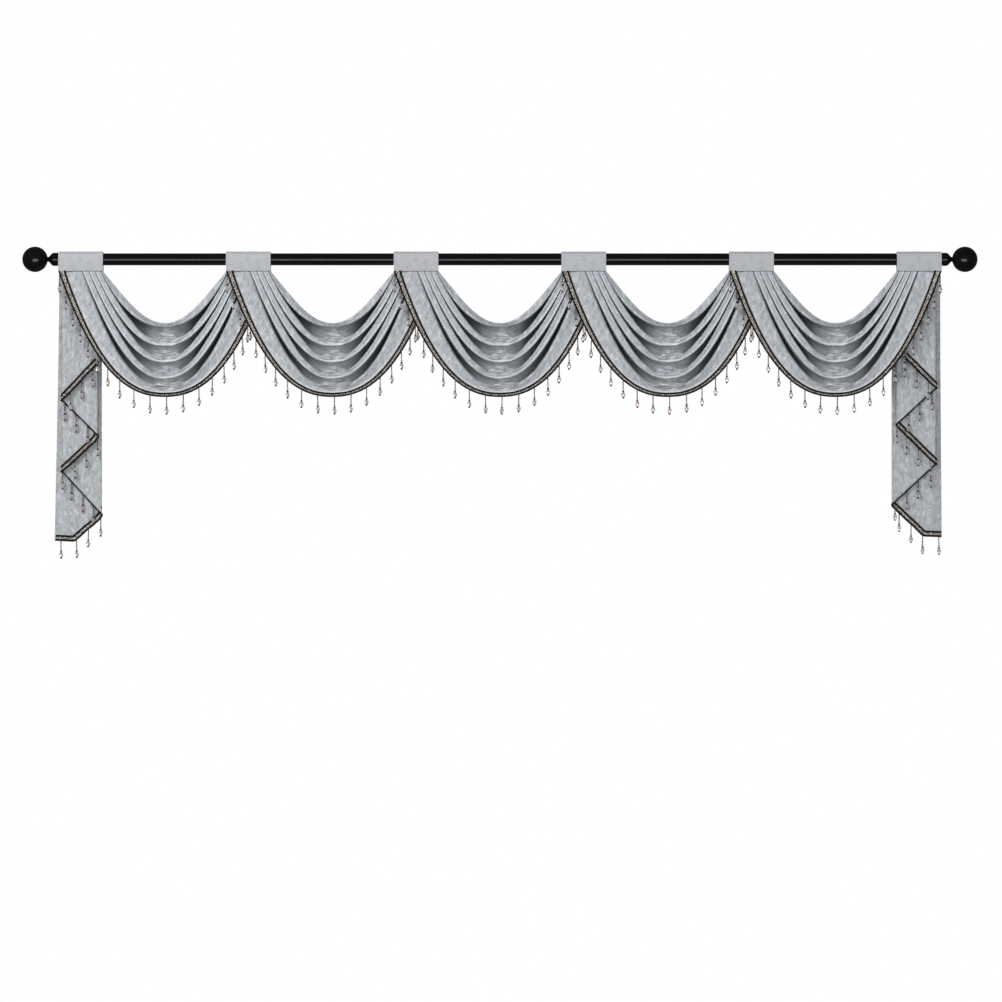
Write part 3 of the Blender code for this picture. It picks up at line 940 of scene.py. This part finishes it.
def stitches_tree():
    """Short raised stitches laid end to end along each path."""
    found = bpy.data.node_groups.get("stitches")
    if found:
        return found
    tree, given, made = new_tree("stitches", {
        "Stitch Length": "Float", "Thread Radius": "Float", "Material": "Material"})
    pitch = math_node(tree, "MULTIPLY", given["Stitch Length"], 1.35)
    curve = add(tree, "GeometryNodeMeshToCurve", {"Mesh": given["Geometry"]}).outputs["Curve"]
    even = add(tree, "GeometryNodeCurveToPoints", {"Curve": curve, "Length": pitch}, mode="LENGTH")
    body = add(tree, "GeometryNodeMeshUVSphere", {
        "Segments": 6, "Rings": 4, "Radius": given["Thread Radius"]}).outputs["Mesh"]
    longer = math_node(tree, "DIVIDE", given["Stitch Length"],
                       math_node(tree, "MULTIPLY", given["Thread Radius"], 2.0))
    size = add(tree, "ShaderNodeCombineXYZ", {"X": 1.0, "Y": 1.0, "Z": longer}).outputs["Vector"]
    stitch = add(tree, "GeometryNodeTransform", {
        "Geometry": body, "Scale": size}).outputs["Geometry"]
    placed = add(tree, "GeometryNodeInstanceOnPoints", {
        "Points": even.outputs["Points"], "Instance": smoothed(tree, stitch),
        "Rotation": even.outputs["Rotation"]})
    finish_tree(tree, [with_material(tree, placed.outputs["Instances"], given["Material"])], made)
    return tree


# ---------------------------------------------------------------- pole and finials
def turned_object(name, profile, steps):
    """Turn a profile of (radius, height) about Z."""
    mesh = bpy.data.meshes.new(name)
    mesh.from_pydata([(radius, 0.0, height) for radius, height in profile],
                     [(i, i + 1) for i in range(len(profile) - 1)], [])
    obj = new_object(name, mesh)
    screw = obj.modifiers.new("turning", "SCREW")
    screw.steps = steps
    screw.render_steps = steps
    screw.use_merge_vertices = True
    screw.merge_threshold = 0.00001
    make_plain(obj)
    obj.data.shade_smooth()
    obj.data.set_sharp_from_angle(angle=math.radians(40))
    return obj


def rounded_corner(radius, height, size, start, end, steps=5):
    """An arc of a profile about a corner's centre, from one angle to another in degrees."""
    angles = [math.radians(mix(start, end, step / steps)) for step in range(steps + 1)]
    return [(radius + size * math.cos(angle), height + size * math.sin(angle)) for angle in angles]


def pole_profile():
    """Half of the outline of a tube with softly rounded ends, from its right end to its left."""
    size = 0.0010
    end = POLE_HALF_LENGTH - size
    radius = POLE_RADIUS - size
    return ([(0.0, POLE_HALF_LENGTH)] + rounded_corner(radius, end, size, 90, 0)
            + rounded_corner(radius, -end, size, 0, -90) + [(0.0, -POLE_HALF_LENGTH)])


def finial_profile():
    """Ball, neck, flared shoulder and collar, from the ball's tip to the pole's end."""
    ball_place = BALL_TIP - BALL_RADIUS
    neck_radius, neck_place = 0.0066, 0.0275
    collar_radius, collar_length, collar_edge = 0.0187, 0.0155, 0.0012
    neck_angle = math.asin(neck_radius / BALL_RADIUS)
    turns = 40
    points = []
    for step in range(turns + 1):
        angle = (math.pi - neck_angle) * step / turns
        points.append((BALL_RADIUS * math.sin(angle), ball_place + BALL_RADIUS * math.cos(angle)))
    for step in range(1, 13):
        share = step / 12
        flare = math.sin(share ** 1.3 * math.pi / 2)
        points.append((mix(neck_radius, collar_radius - collar_edge, flare),
                       mix(neck_place, collar_length, share)))
    points += rounded_corner(collar_radius - collar_edge, collar_length - collar_edge,
                             collar_edge, 90, 0)
    points += [(collar_radius - cut, height) for cut, height in COLLAR_GROOVE]
    points += rounded_corner(collar_radius - 0.0008, 0.0011, 0.0008, 0, -90)
    points.append((0.0, 0.0003))
    return points


class DRAPE_OT_pole(bpy.types.Operator):
    """Turn the pole and its two ball finials"""
    bl_idname = "drape.pole"
    bl_label = "Pole and Finials"

    def execute(self, context):
        paint = pole_material()
        pole = turned_object("painted_pole", pole_profile(), 96)
        pole.data.transform(Matrix.Rotation(math.radians(90), 4, "Y"))
        pieces = [(pole, "pole")]
        for side, direction in (("left", -1), ("right", 1)):
            finial = turned_object("ball_finial_" + side, finial_profile(), 72)
            turn = Matrix.Rotation(direction * math.radians(90), 4, "Y")
            place = Matrix.Translation((direction * POLE_HALF_LENGTH, 0.0, 0.0))
            finial.data.transform(place @ turn)
            pieces.append((finial, "finial_" + side))
        for piece, node in pieces:
            set_only_material(piece, paint)
            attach(piece, "root")
            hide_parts(node)
        return {"FINISHED"}


# ---------------------------------------------------------------- tabs
def tab_section():
    """Section of a tab from its back foot, over the pole, to its front foot, evenly spaced."""
    radius = POLE_RADIUS + TAB_CLEARANCE + TAB_THICKNESS / 2
    arc = np.linspace(0.0, math.pi, 33)
    over = np.stack([radius * np.cos(arc), radius * np.sin(arc)], axis=1)
    foot = -TAB_DROP + TAB_THICKNESS * 0.1
    path = np.array([(TAB_FOOT, foot), *over, (-TAB_FOOT, foot)])
    lengths = lengths_along(path)
    return read_along(path, lengths, np.linspace(0.0, lengths[-1], TAB_STEPS))


def tab_points(index):
    """A tab's grid of points, with a little softness in the cloth."""
    section = tab_section()
    across = np.linspace(-0.5, 0.5, TAB_COLUMNS) * (TAB_WIDTH - TAB_NARROWED)
    points = np.zeros((len(across), len(section), 3))
    for column, place in enumerate(across):
        softness = [noise.noise(Vector((place * 22, distance * 0.13, index * 3.1))) * TAB_SOFTNESS
                    for distance in range(len(section))]
        points[column, :, 0] = tab_middle(index) + place
        points[column, :, 1] = section[:, 0] * (1 + np.array(softness) / POLE_RADIUS)
        points[column, :, 2] = section[:, 1]
    return points


def stitch_paths(index):
    """Lines of stitching on the tab's front: down both sides and along its foot."""
    surface = TAB_FOOT + TAB_THICKNESS / 2 + STITCH_PROUD
    half = TAB_WIDTH / 2 - STITCH_INSET
    foot = -TAB_DROP + STITCH_RISE
    slant = (POLE_RADIUS + TAB_CLEARANCE + TAB_THICKNESS - surface) / TAB_DROP
    rows = [[(side * half, -surface - slant * (TAB_DROP + z), z)
             for z in np.linspace(0.0, foot, 12)] for side in (-1, 1)]
    rows.append([(x, -surface - slant * STITCH_RISE, foot) for x in np.linspace(-half, half, 24)])
    middle = tab_middle(index)
    return [np.array([(middle + x, y, z) for x, y, z in row]) for row in rows]


def joined_polyline(name, paths):
    """Several paths as one mesh of loose edges."""
    points = np.concatenate(paths)
    edges = []
    start = 0
    for path in paths:
        edges += [(start + i, start + i + 1) for i in range(len(path) - 1)]
        start += len(path)
    mesh = bpy.data.meshes.new(name)
    mesh.from_pydata(points.tolist(), edges, [])
    return new_object(name, mesh)


class DRAPE_OT_tabs(bpy.types.Operator):
    """Fold the six tabs over the pole and stitch them"""
    bl_idname = "drape.tabs"
    bl_label = "Tabs"

    def execute(self, context):
        chosen = settings()
        velvet = velvet_material("tab_velvet", (1.0, 0.975, 0.97), reach=0.26)
        for index in range(TAB_COUNT):
            points = tab_points(index)
            tab = sheet_object(f"velvet_tab_{index + 1}", points)
            thicken(tab, TAB_THICKNESS, round_edge=0.0009)
            set_only_material(tab, velvet)
            stitches = joined_polyline(f"tab_stitches_{index + 1}", stitch_paths(index))
            run_tree(stitches, stitches_tree(), {
                "Stitch Length": chosen.stitch_length, "Thread Radius": STITCH_THREAD,
                "Material": thread_material()})
            for piece in (tab, stitches):
                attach(piece, "root")
            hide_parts(f"tab_{index + 1}")
        return {"FINISHED"}


# ---------------------------------------------------------------- swags
def line_at(line, spread):
    """Distance from the swag's middle, and height, of a fold line at one spread."""
    rise = spread ** BOW_POWER * (line.roundness + (1 - line.roundness) * spread)
    return np.array(((INNER_HALF + line.inset) * spread, mix(-line.drop, SEAM_Z, rise)))


def opening_at(spread):
    """How the pleats are open at one spread."""
    places = [row.spread for row in OPENINGS]
    return Opening(spread, *(
        float(smooth_read(places, [getattr(row, field) for row in OPENINGS], spread))
        for field in Opening._fields[1:]))


def pleat_section(trough, floor, sag):
    """One pleat from a lip to the next: share of the way, forward share, and painted shading."""
    turn = np.linspace(0.0, 1.0, 7)
    under = min(LIP_SHARE, trough * 0.4)
    lip = np.stack([under * np.sin(turn * math.pi / 2),
                    mix(floor, LIP_FORWARD, np.cos(turn * math.pi / 2)),
                    smooth_step(turn * 2.5)], axis=1)
    share = np.linspace(0.0, 1.0, 8)[1:]
    bed = np.stack([mix(under, trough, share), floor + BED_RISE * share ** 2, np.ones(7)], axis=1)
    share = np.linspace(0.0, 1.0, 9)[1:]
    rise_end = mix(trough, 1.0, RISE_SHARE)
    rise = np.stack([mix(trough, rise_end, share),
                     mix(floor + BED_RISE, BEND_FORWARD, np.sin(share * math.pi / 2)),
                     1 - smooth_step(share * 1.7)], axis=1)
    share = np.linspace(0.0, 1.0, 15)[1:-1]
    forward = mix(BEND_FORWARD, LIP_FORWARD - LIP_KICK, share) + LIP_KICK * share ** 5
    face = np.stack([mix(rise_end, 1.0, share), forward - sag * np.sin(math.pi * share ** 0.85),
                     FACE_PAINTED_HIGHLIGHT * smooth_step((share - 0.72) / 0.2)], axis=1)
    return np.concatenate([lip, bed, rise, face])


def swag_section(spread, side, number):
    """Brow to hem at one spread: rows of (outward, height, forward, painted shading, down)."""
    opening = opening_at(spread)
    depth = opening.depth
    brow = line_at(BROW, spread)
    lips = [line_at(line, spread) for line in LIPS]

    gap = np.linalg.norm(lips[0] - brow)
    fall = (lips[0] - brow) / gap
    roll = min(0.0055, 0.55 * gap)
    forward_half = (BROW_FORWARD + ROLL_BACK) / 2 * depth
    forward_middle = (BROW_FORWARD - ROLL_BACK) / 2 * depth
    rows = []
    for turn in np.linspace(0.0, math.pi, 11):
        place = brow + fall * roll * (1 - math.sin(turn))
        rows.append((*place, forward_middle - forward_half * math.cos(turn), 0.0,
                     roll * (turn / math.pi - 1)))
    for share in np.linspace(0.0, 1.0, 9)[1:-1]:
        place = brow + fall * mix(roll, gap, share)
        forward = mix(BROW_FORWARD, LIP_FORWARD, math.sin(share * math.pi / 2)) * depth
        rows.append((*place, forward, 0.0, BROW_CLOTH * share))

    hem = line_at(HEM, spread)
    ends = lips[1:] + [hem]
    for pleat, (near, far) in enumerate(zip(lips, ends)):
        lowest = far is hem
        away = abs(side * spread - CRUSH_AND_SHADE_MIDDLE)
        drift = noise.noise(Vector((side * spread * 9.0, pleat * 2.7, number * 5.3)))
        nearby = opening_at(float(np.clip(away + PLEAT_DRIFT * drift * (1 - spread), 0.0, 1.0)))
        trough = (nearby.first, nearby.second, nearby.third, nearby.lowest)[pleat]
        for share, forward, painted_shading in pleat_section(trough, nearby.floor, opening.sag):
            place = mix(near, far, share)
            if lowest:
                forward *= mix(1.0, PANEL_FORWARD, smooth_step(share))
                # The lowest panel's painted highlight fades towards the tab.
                painted_shading = painted_shading if painted_shading > 0 else painted_shading * (1 - 0.85 * spread)
            # Troughs take the strength of their painted shade from the opening.
            rows.append((*place, forward * depth, painted_shading * nearby.shade if painted_shading > 0 else painted_shading,
                         BROW_CLOTH + PLEAT_CLOTH * (pleat + share)))
    edge = line_at(BRAID_EDGE, spread)
    for share in np.linspace(0.0, CLOTH_UNDER_BRAID, 4):
        rows.append((*mix(hem, edge, share), PANEL_FORWARD * LIP_FORWARD * depth, 0.0,
                     BROW_CLOTH + PLEAT_CLOTH * len(LIPS) + np.linalg.norm(edge - hem) * share))
    return np.array(rows)


def swag_stations():
    """Places across a swag as (side, reach, tuck)."""
    reaches = [step / HALF_STATIONS for step in range(HALF_STATIONS)]
    reaches += [1.0 - gap for gap in SEAM_GAPS]
    half = [(reach, 0.0) for reach in reaches] + [(1.0, 0.0), (1.0, TUCK / 2), (1.0, TUCK)]
    left = [(-1, reach, tuck) for reach, tuck in reversed(half[1:])]
    right = [(1, reach, tuck) for reach, tuck in half]
    return left + right


def spread_of(reach):
    """Spread of a station; the stations lie closer together near the tab."""
    return reach * (1 + STATION_EASE * (1 - reach))


def seat_depth(swag, side, reach):
    """How far back the pleat floors lie, eased from the tab's seat to the middle."""
    seat = swag.left_seat if side < 0 else swag.right_seat
    return mix(MIDDLE_SEAT, seat, smooth_step(reach))


def swag_middle(swag):
    """Where along the pole a swag's middle lies."""
    return (tab_middle(swag.number - 1) + tab_middle(swag.number)) / 2


def swell(height, drop=SWELL_DROP):
    """How far the cloth swells forward at a height, just under the tabs."""
    fall = SEAM_Z - height
    return SWELL * smooth_step(fall / drop) * (1 - smooth_step((fall - drop) / SWELL_FADE))


def swag_points(swag):
    """The swag's grid of points, its painted shading, how crushed it is (with painted shade) and
    how far down it is.
    """
    middle = swag_middle(swag)
    points, painted_shadings, crush_and_shade_shares, downs = [], [], [], []
    for side, reach, tuck in swag_stations():
        spread = spread_of(reach)
        section = swag_section(spread, side, swag.number)
        row = np.empty((len(section), 3))
        row[:, 0] = middle + side * section[:, 0]
        pleats_down = (section[:, 4] - BROW_CLOTH) / PLEAT_CLOTH
        to_hem = smooth_step(pleats_down / HEM_ZONE - (len(LIPS) - HEM_ZONE) / HEM_ZONE)
        drop = mix(SWELL_DROP, HEM_SWELL_DROP, to_hem)
        row[:, 1] = seat_depth(swag, side, reach) - section[:, 2] - swell(section[:, 1], drop)
        row[:, 2] = section[:, 1] + tuck
        points.append(row)
        painted_shadings.append(section[:, 3])
        downs.append(section[:, 4])
        away = abs(side * spread - CRUSH_AND_SHADE_MIDDLE)
        # How crushed the velvet is here, which also sets how much painted shade it carries.
        crush_and_shade = float(np.interp(away, CRUSH_AND_SHADE_SPREADS, CRUSH_AND_SHADE_SHARES))
        crush_and_shade_shares.append(np.full(len(section), crush_and_shade) * (1 - 0.75 * np.clip(section[:, 3], 0.0, 1.0)))
    points = np.array(points)
    down = np.array(downs)
    along, _ = cloth_measure(points)
    own = np.linalg.norm(np.diff(points, axis=1), axis=2).sum(axis=1)
    ease = smooth_step((SEAM_Z - points[:, :, 2]) / 0.05)
    ease = ease * np.minimum(own / own.mean(), 1.0)[:, None] ** 2
    height = settings().wrinkle_height * (0.8 + 0.9 * np.array(crush_and_shade_shares))
    points[:, :, 1] += wrinkle(along, down, 2.0 + swag.number) * height * ease
    return points, np.array(painted_shadings), np.array(crush_and_shade_shares), down


def line_across(swag, line, forward_share):
    """Points of a fold line across the whole swag, from its left tab to its right."""
    middle = swag_middle(swag)
    points = []
    for side, reach, tuck in swag_stations():
        spread = spread_of(reach)
        out, height = line_at(line, spread)
        forward = opening_at(spread).depth * forward_share + swell(height, HEM_SWELL_DROP)
        points.append((middle + side * out, seat_depth(swag, side, reach) - forward, height + tuck))
    return np.array(points)


class DRAPE_OT_swags(bpy.types.Operator):
    """Hang the five pleated swags"""
    bl_idname = "drape.swags"
    bl_label = "Swags"

    def execute(self, context):
        velvet = velvet_material("draped_velvet")
        for swag in SWAGS:
            name = f"velvet_swag_{swag.number}"
            obj = sheet_object(name, *swag_points(swag))
            thicken(obj, settings().swag_thickness)
            clear_behind(obj)
            set_only_material(obj, velvet)
            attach(obj, "root")
            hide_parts(f"swag_{swag.number}")
            edge = line_across(swag, BRAID_EDGE, PANEL_FORWARD * LIP_FORWARD)
            widths = swag_braid_widths()
            centre, facing, across = swag_braid_frame(edge, widths)
            trim = braided_edge(f"swag_{swag.number}", centre, facing, across, widths,
                                settings().swag_thickness)
            middle = lengths_along(edge)[-1] / 2
            numbers = range(-DROPS_EACH_SIDE, DROPS_EACH_SIDE + 1)
            drops = hung_drops(f"swag_{swag.number}", edge, facing,
                               [middle + drop_place(number) for number in numbers],
                               [number % 2 == 0 for number in numbers], swag.number)
            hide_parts(f"swag_trim_{swag.number}")
        return {"FINISHED"}


# ---------------------------------------------------------------- braid and drops
def swag_braid_widths():
    """Width of a swag's braid at each of its stations."""
    spreads = [spread_of(reach) for _, reach, _ in swag_stations()]
    return np.interp(spreads, BRAID_SPREADS, BRAID_WIDTHS)


def drop_place(number):
    """Where a drop hangs along a swag's braid, from its middle; they spread to the left."""
    stretch = 1 + DROP_STRETCH * (min(number, 0) / DROPS_EACH_SIDE) ** 2
    return DROP_SHIFT + number * DROP_SPACING * stretch


def swag_braid_frame(edge, widths):
    """Centre line of a swag's braid, which way it faces and which way is down across it."""
    tangent = unit(np.gradient(edge, axis=0))
    facing = unit(TO_ROOM - tangent * (tangent @ TO_ROOM)[:, None])
    across = unit(np.cross(tangent, facing))
    return edge - across * (widths / 2)[:, None], facing, across


def braided_edge(stem, centre, facing, across, widths, cloth_thickness, cord_radius=CORD_RADIUS):
    """Lay the braid along its centre line, on the side of the cloth that faces out."""
    centre = centre + facing * (cloth_thickness / 2 + TAPE_THICKNESS / 2 + TAPE_GAP)
    strip = np.stack([centre + across * (widths * side)[:, None] for side in TAPE_SIDES], axis=1)
    tape = sheet_object(stem + "_braid", strip)
    thicken(tape, TAPE_THICKNESS)

    path = centre + facing * PLAIT_FORWARD
    add_path(tape.data, path, {"across": across, "facing": facing, "path": np.ones(len(path)),
                               "plait_half": widths / 2 - 2 * cord_radius})
    run_tree(tape, braid_tree(), {
        "Pitch": settings().plait_pitch, "Swing Share": 0.68, "Strand Share": 0.34,
        "Lift": PLAIT_LIFT, "Cord Radius": cord_radius,
        "Plait Material": plait_material(), "Cord Material": cord_material()})
    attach(tape, "root")
    return tape


def add_path(mesh, path, attributes):
    """Add a loose polyline to a mesh, with attributes that are zero on the rest of it."""
    start = len(mesh.vertices)
    mesh.vertices.add(len(path))
    positions = np.zeros(len(mesh.vertices) * 3, np.float32)
    mesh.vertices.foreach_get("co", positions)
    positions[start * 3:] = path.astype(np.float32).ravel()
    mesh.vertices.foreach_set("co", positions)
    first = len(mesh.edges)
    mesh.edges.add(len(path) - 1)
    for number in range(len(path) - 1):
        mesh.edges[first + number].vertices = (start + number, start + number + 1)
    full = {}
    for key, values in attributes.items():
        shape = (start, *values.shape[1:])
        full[key] = np.concatenate([np.zeros(shape), values])
    keep_attributes(mesh, full)
    mesh.update()


def hung_drops(stem, edge, edge_facing, distances, rose, seed):
    """Hang a bead drop at each distance along the braid's lower edge."""
    lengths = lengths_along(edge)
    roots = read_along(edge, lengths, distances)
    roots += read_along(edge_facing, lengths, distances) * DROP_FORWARD + UP * DROP_RISE
    drops = points_object(stem + "_drops", roots, {"rose": np.array(rose, float)})
    chosen = settings()
    run_tree(drops, drops_tree(), {
        "Length": DROP_LENGTH, "Seed": seed,
        "Clear Glass": glass_material("clear_bead_glass", tuple(chosen.clear_glass)),
        "Rose Glass": glass_material("rose_bead_glass", tuple(chosen.rose_glass)),
        "Smoke Glass": glass_material("smoke_bead_glass", SMOKE_GLASS),
        "Metal": cap_material(), "Thread": cord_material()})
    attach(drops, "root")
    return drops


# ---------------------------------------------------------------- tails
def tail_columns(tail):
    """Columns across the folded sheet as (ply, outward, bulge, hem drop)."""
    columns = []
    ply = 0.0
    for near, far in zip(tail.edges, tail.edges[1:]):
        start = near.hem_drop + near.wrap
        for share in np.linspace(0.0, 1.0, PLY_COLUMNS):
            columns.append((ply, mix(near.outward, far.outward, share), 0.0,
                            mix(start, far.hem_drop, share)))
        if far.wrap:
            side = 1.0 if far.outward > 0 else -1.0
            for share in np.linspace(0.0, 1.0, FOLD_COLUMNS + 2)[1:-1]:
                turn = share * math.pi
                columns.append((ply + (1 - math.cos(turn)) / 2, far.outward, side * math.sin(turn),
                                far.hem_drop + far.wrap * share))
            ply += 1.0
    kept = [columns[0]]
    for column in columns[1:]:
        if not np.allclose(column, kept[-1]):
            kept.append(column)
    return np.array(kept)


def tail_point(tail, column, height):
    """A point of the tail's sheet; every ply shares the same soft ripple."""
    ply, outward, bulge, _ = column
    fall = SEAM_Z - height
    share = np.clip(fall / TAIL_SPREAD_DROP, 0.0, 1.0)
    slant = np.clip(fall / TAIL_LENGTH, 0.0, 1.0) if outward > 0 else share
    pitch = mix(PLY_PITCH_TOP, PLY_PITCH_LOW, np.clip(fall / PLY_SPREAD_DROP, 0.0, 1.0))
    top = np.clip(outward, -TAIL_TOP_HALF, TAIL_TOP_HALF)
    out = mix(top, outward, slant) + bulge * pitch * FOLD_BULGE
    wave = sum(part * np.sin(out * rate + start) for part, rate, start in RIPPLE_WAVES)
    ripple = TAIL_RIPPLE * wave * share
    x = tab_middle(tail.tab) + tail.outward_sign * out
    y = TAIL_FRONT + ply * pitch + ripple - swell(height)
    return np.stack([np.broadcast_to(x, np.shape(height)), y, height], axis=-1)


def tail_points(tail):
    """The tail's grid of points, from its tuck under the tab to its hem."""
    rows = []
    for column in tail_columns(tail):
        bottom = -column[3] + HEM_SHORT
        heights = np.concatenate([SEAM_Z + np.array((1.0, 0.5, 0.0)) * TUCK,
                                  SEAM_Z - np.array((0.4, 0.8, 1.2)) * SWELL_DROP,
                                  np.linspace(SEAM_Z - 2 * SWELL_DROP, bottom, TAIL_ROWS)])
        rows.append(tail_point(tail, column, heights))
    return np.array(rows)


def tail_braid_frame(tail, width):
    """The hem line of a tail, the braid's centre line on the folded sheet, and its directions.

    The braid is a straight band on the flat sheet, so its places are found there and then
    carried round the folds.
    """
    columns = tail_columns(tail)
    low = np.array([tail_point(tail, column, -0.5) for column in columns])
    places = lengths_along(low[:, :2])
    flat = np.stack([places, -columns[:, 3]], axis=1)
    along = unit(np.gradient(flat, axis=0))
    rise = np.stack([-along[:, 1], along[:, 0]], axis=1)

    def folded(spots):
        """Carry spots of the flat sheet, as (place, height), on to the folded one."""
        read = [np.interp(spots[:, 0], places, columns[:, item]) for item in range(4)]
        return np.array([tail_point(tail, column, height)
                         for column, height in zip(np.array(read).T, spots[:, 1])])

    edge = folded(flat)
    centre = folded(flat + rise * width / 2)
    across = unit(folded(flat + rise * width * 0.45) - folded(flat + rise * width * 0.55))
    ahead = (folded(flat + rise * width / 2 + along * HEM_STEP)
             - folded(flat + rise * width / 2 - along * HEM_STEP))
    facing = unit(np.cross(across, unit(ahead))) * tail.outward_sign
    return edge, centre, facing, across


class DRAPE_OT_tails(bpy.types.Operator):
    """Hang the two zigzag tails"""
    bl_idname = "drape.tails"
    bl_label = "Tails"

    def execute(self, context):
        velvet = velvet_material("tail_velvet", (0.92, 0.92, 0.915), (95.0, 55.0, 1.0), 0.115)
        for tail in TAILS:
            points = tail_points(tail)
            obj = sheet_object("velvet_tail_" + tail.side, points)
            thicken(obj, settings().tail_thickness)
            set_only_material(obj, velvet)
            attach(obj, "root")
            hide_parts("tail_" + tail.side)
            edge, centre, facing, across = tail_braid_frame(tail, TAIL_BRAID_WIDTH)
            trim = braided_edge("tail_" + tail.side, centre, facing, across,
                                np.full(len(edge), TAIL_BRAID_WIDTH), settings().tail_thickness,
                                TAIL_CORD_RADIUS)
            length = lengths_along(edge)[-1]
            distances = np.arange(tail.first_drop, length, tail.drop_spacing)
            drops = hung_drops("tail_" + tail.side, edge, facing, distances,
                               [number % 2 == 1 for number in range(len(distances))], 11 + tail.tab)
            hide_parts("tail_trim_" + tail.side)
        return {"FINISHED"}


# ---------------------------------------------------------------- stage
class DRAPE_OT_stage(bpy.types.Operator):
    """Lay the floor and set the lights and the camera"""
    bl_idname = "drape.stage"
    bl_label = "Floor, Lights and Camera"

    def execute(self, context):
        lay_floor()
        light_the_room()
        place_camera()
        return {"FINISHED"}


def lay_floor():
    """A plain floor well below the drape."""
    width, depth, level, front = 4.0, 2.2, -2.25, -1.0
    corners = [(-width / 2, front, level), (width / 2, front, level),
               (width / 2, front + depth, level), (-width / 2, front + depth, level)]
    mesh = bpy.data.meshes.new("floor")
    mesh.from_pydata(corners, [], [(0, 1, 2, 3)])
    floor = new_object("floor", mesh)
    set_only_material(floor, floor_material())
    floor.visible_glossy = False


def hang_softbox(box):
    """Hang a soft panel of light; only mirrored ones show in glossy surfaces."""
    light = bpy.data.lights.new(box.name, "AREA")
    light.shape = "RECTANGLE"
    light.size, light.size_y = box.size
    light.energy = box.power
    light.color = box.colour
    lamp = bpy.data.objects.new(box.name, light)
    lamp.visible_glossy = box.mirrored
    lamp.location = box.place
    lamp.rotation_euler = (Vector(box.aim) - lamp.location).to_track_quat("-Z", "Y").to_euler()
    bpy.context.scene.collection.objects.link(lamp)


def light_the_room():
    """A white surround, and soft panels at the sides, in front and behind."""
    world = bpy.data.worlds.new("studio")
    world.use_nodes = True
    tree = world.node_tree
    path = add(tree, "ShaderNodeLightPath")
    through = math_node(tree, "MULTIPLY", path.outputs["Is Transmission Ray"], SEEN_THROUGH_GLASS)
    seen = math_node(tree, "MAXIMUM", path.outputs["Is Camera Ray"], through)
    lit = math_node(tree, "MULTIPLY_ADD", seen, 1.0 - AMBIENT)
    lit.node.inputs[2].default_value = AMBIENT
    shown = tree.nodes["Background"]
    shown.inputs["Color"].default_value = (1.0, 1.0, 1.0, 1.0)
    tree.links.new(lit, shown.inputs["Strength"])
    bpy.context.scene.world = world
    for box in SOFTBOXES:
        hang_softbox(box)


def place_camera():
    """Look at the drape straight on, from far back."""
    distance, height, sideways = 20.0, -0.684, 0.003
    frame_width = 2.836
    camera = bpy.data.cameras.new("camera")
    camera.sensor_width = 36.0
    camera.lens = camera.sensor_width * distance / frame_width
    camera.clip_end = 60.0
    viewer = bpy.data.objects.new("camera", camera)
    viewer.location = (sideways, -distance, height)
    viewer.rotation_euler = (math.radians(90), 0.0, 0.0)
    bpy.context.scene.collection.objects.link(viewer)
    bpy.context.scene.camera = viewer
    bpy.context.scene.view_settings.view_transform = "Standard"


# ---------------------------------------------------------------- add-on
class DRAPE_PT_panel(bpy.types.Panel):
    """The drape's sizes, colours and pieces"""
    bl_idname = "DRAPE_PT_panel"
    bl_label = "Swag and Tail Drape"
    bl_space_type = "VIEW_3D"
    bl_region_type = "UI"
    bl_category = "Drape"

    def draw(self, context):
        chosen = context.scene.drape_settings
        for name in DrapeSettings.__annotations__:
            self.layout.prop(chosen, name)
        for operator in OPERATORS:
            self.layout.operator(operator.bl_idname)


OPERATORS = (DRAPE_OT_pole, DRAPE_OT_tabs, DRAPE_OT_swags, DRAPE_OT_tails, DRAPE_OT_stage)
CLASSES = (DrapeSettings, *OPERATORS, DRAPE_PT_panel)


def register():
    """Make the settings, operators and panel known."""
    for item in CLASSES:
        bpy.utils.register_class(item)
    bpy.types.Scene.drape_settings = bpy.props.PointerProperty(type=DrapeSettings)


def unregister():
    """Take the settings, operators and panel away again."""
    del bpy.types.Scene.drape_settings
    for item in reversed(CLASSES):
        bpy.utils.unregister_class(item)


def main():
    """Build every piece and the stage."""
    register()
    bpy.ops.drape.pole()
    bpy.ops.drape.tabs()
    bpy.ops.drape.swags()
    bpy.ops.drape.tails()
    bpy.ops.drape.stage()


if __name__ == "__main__":
    main()
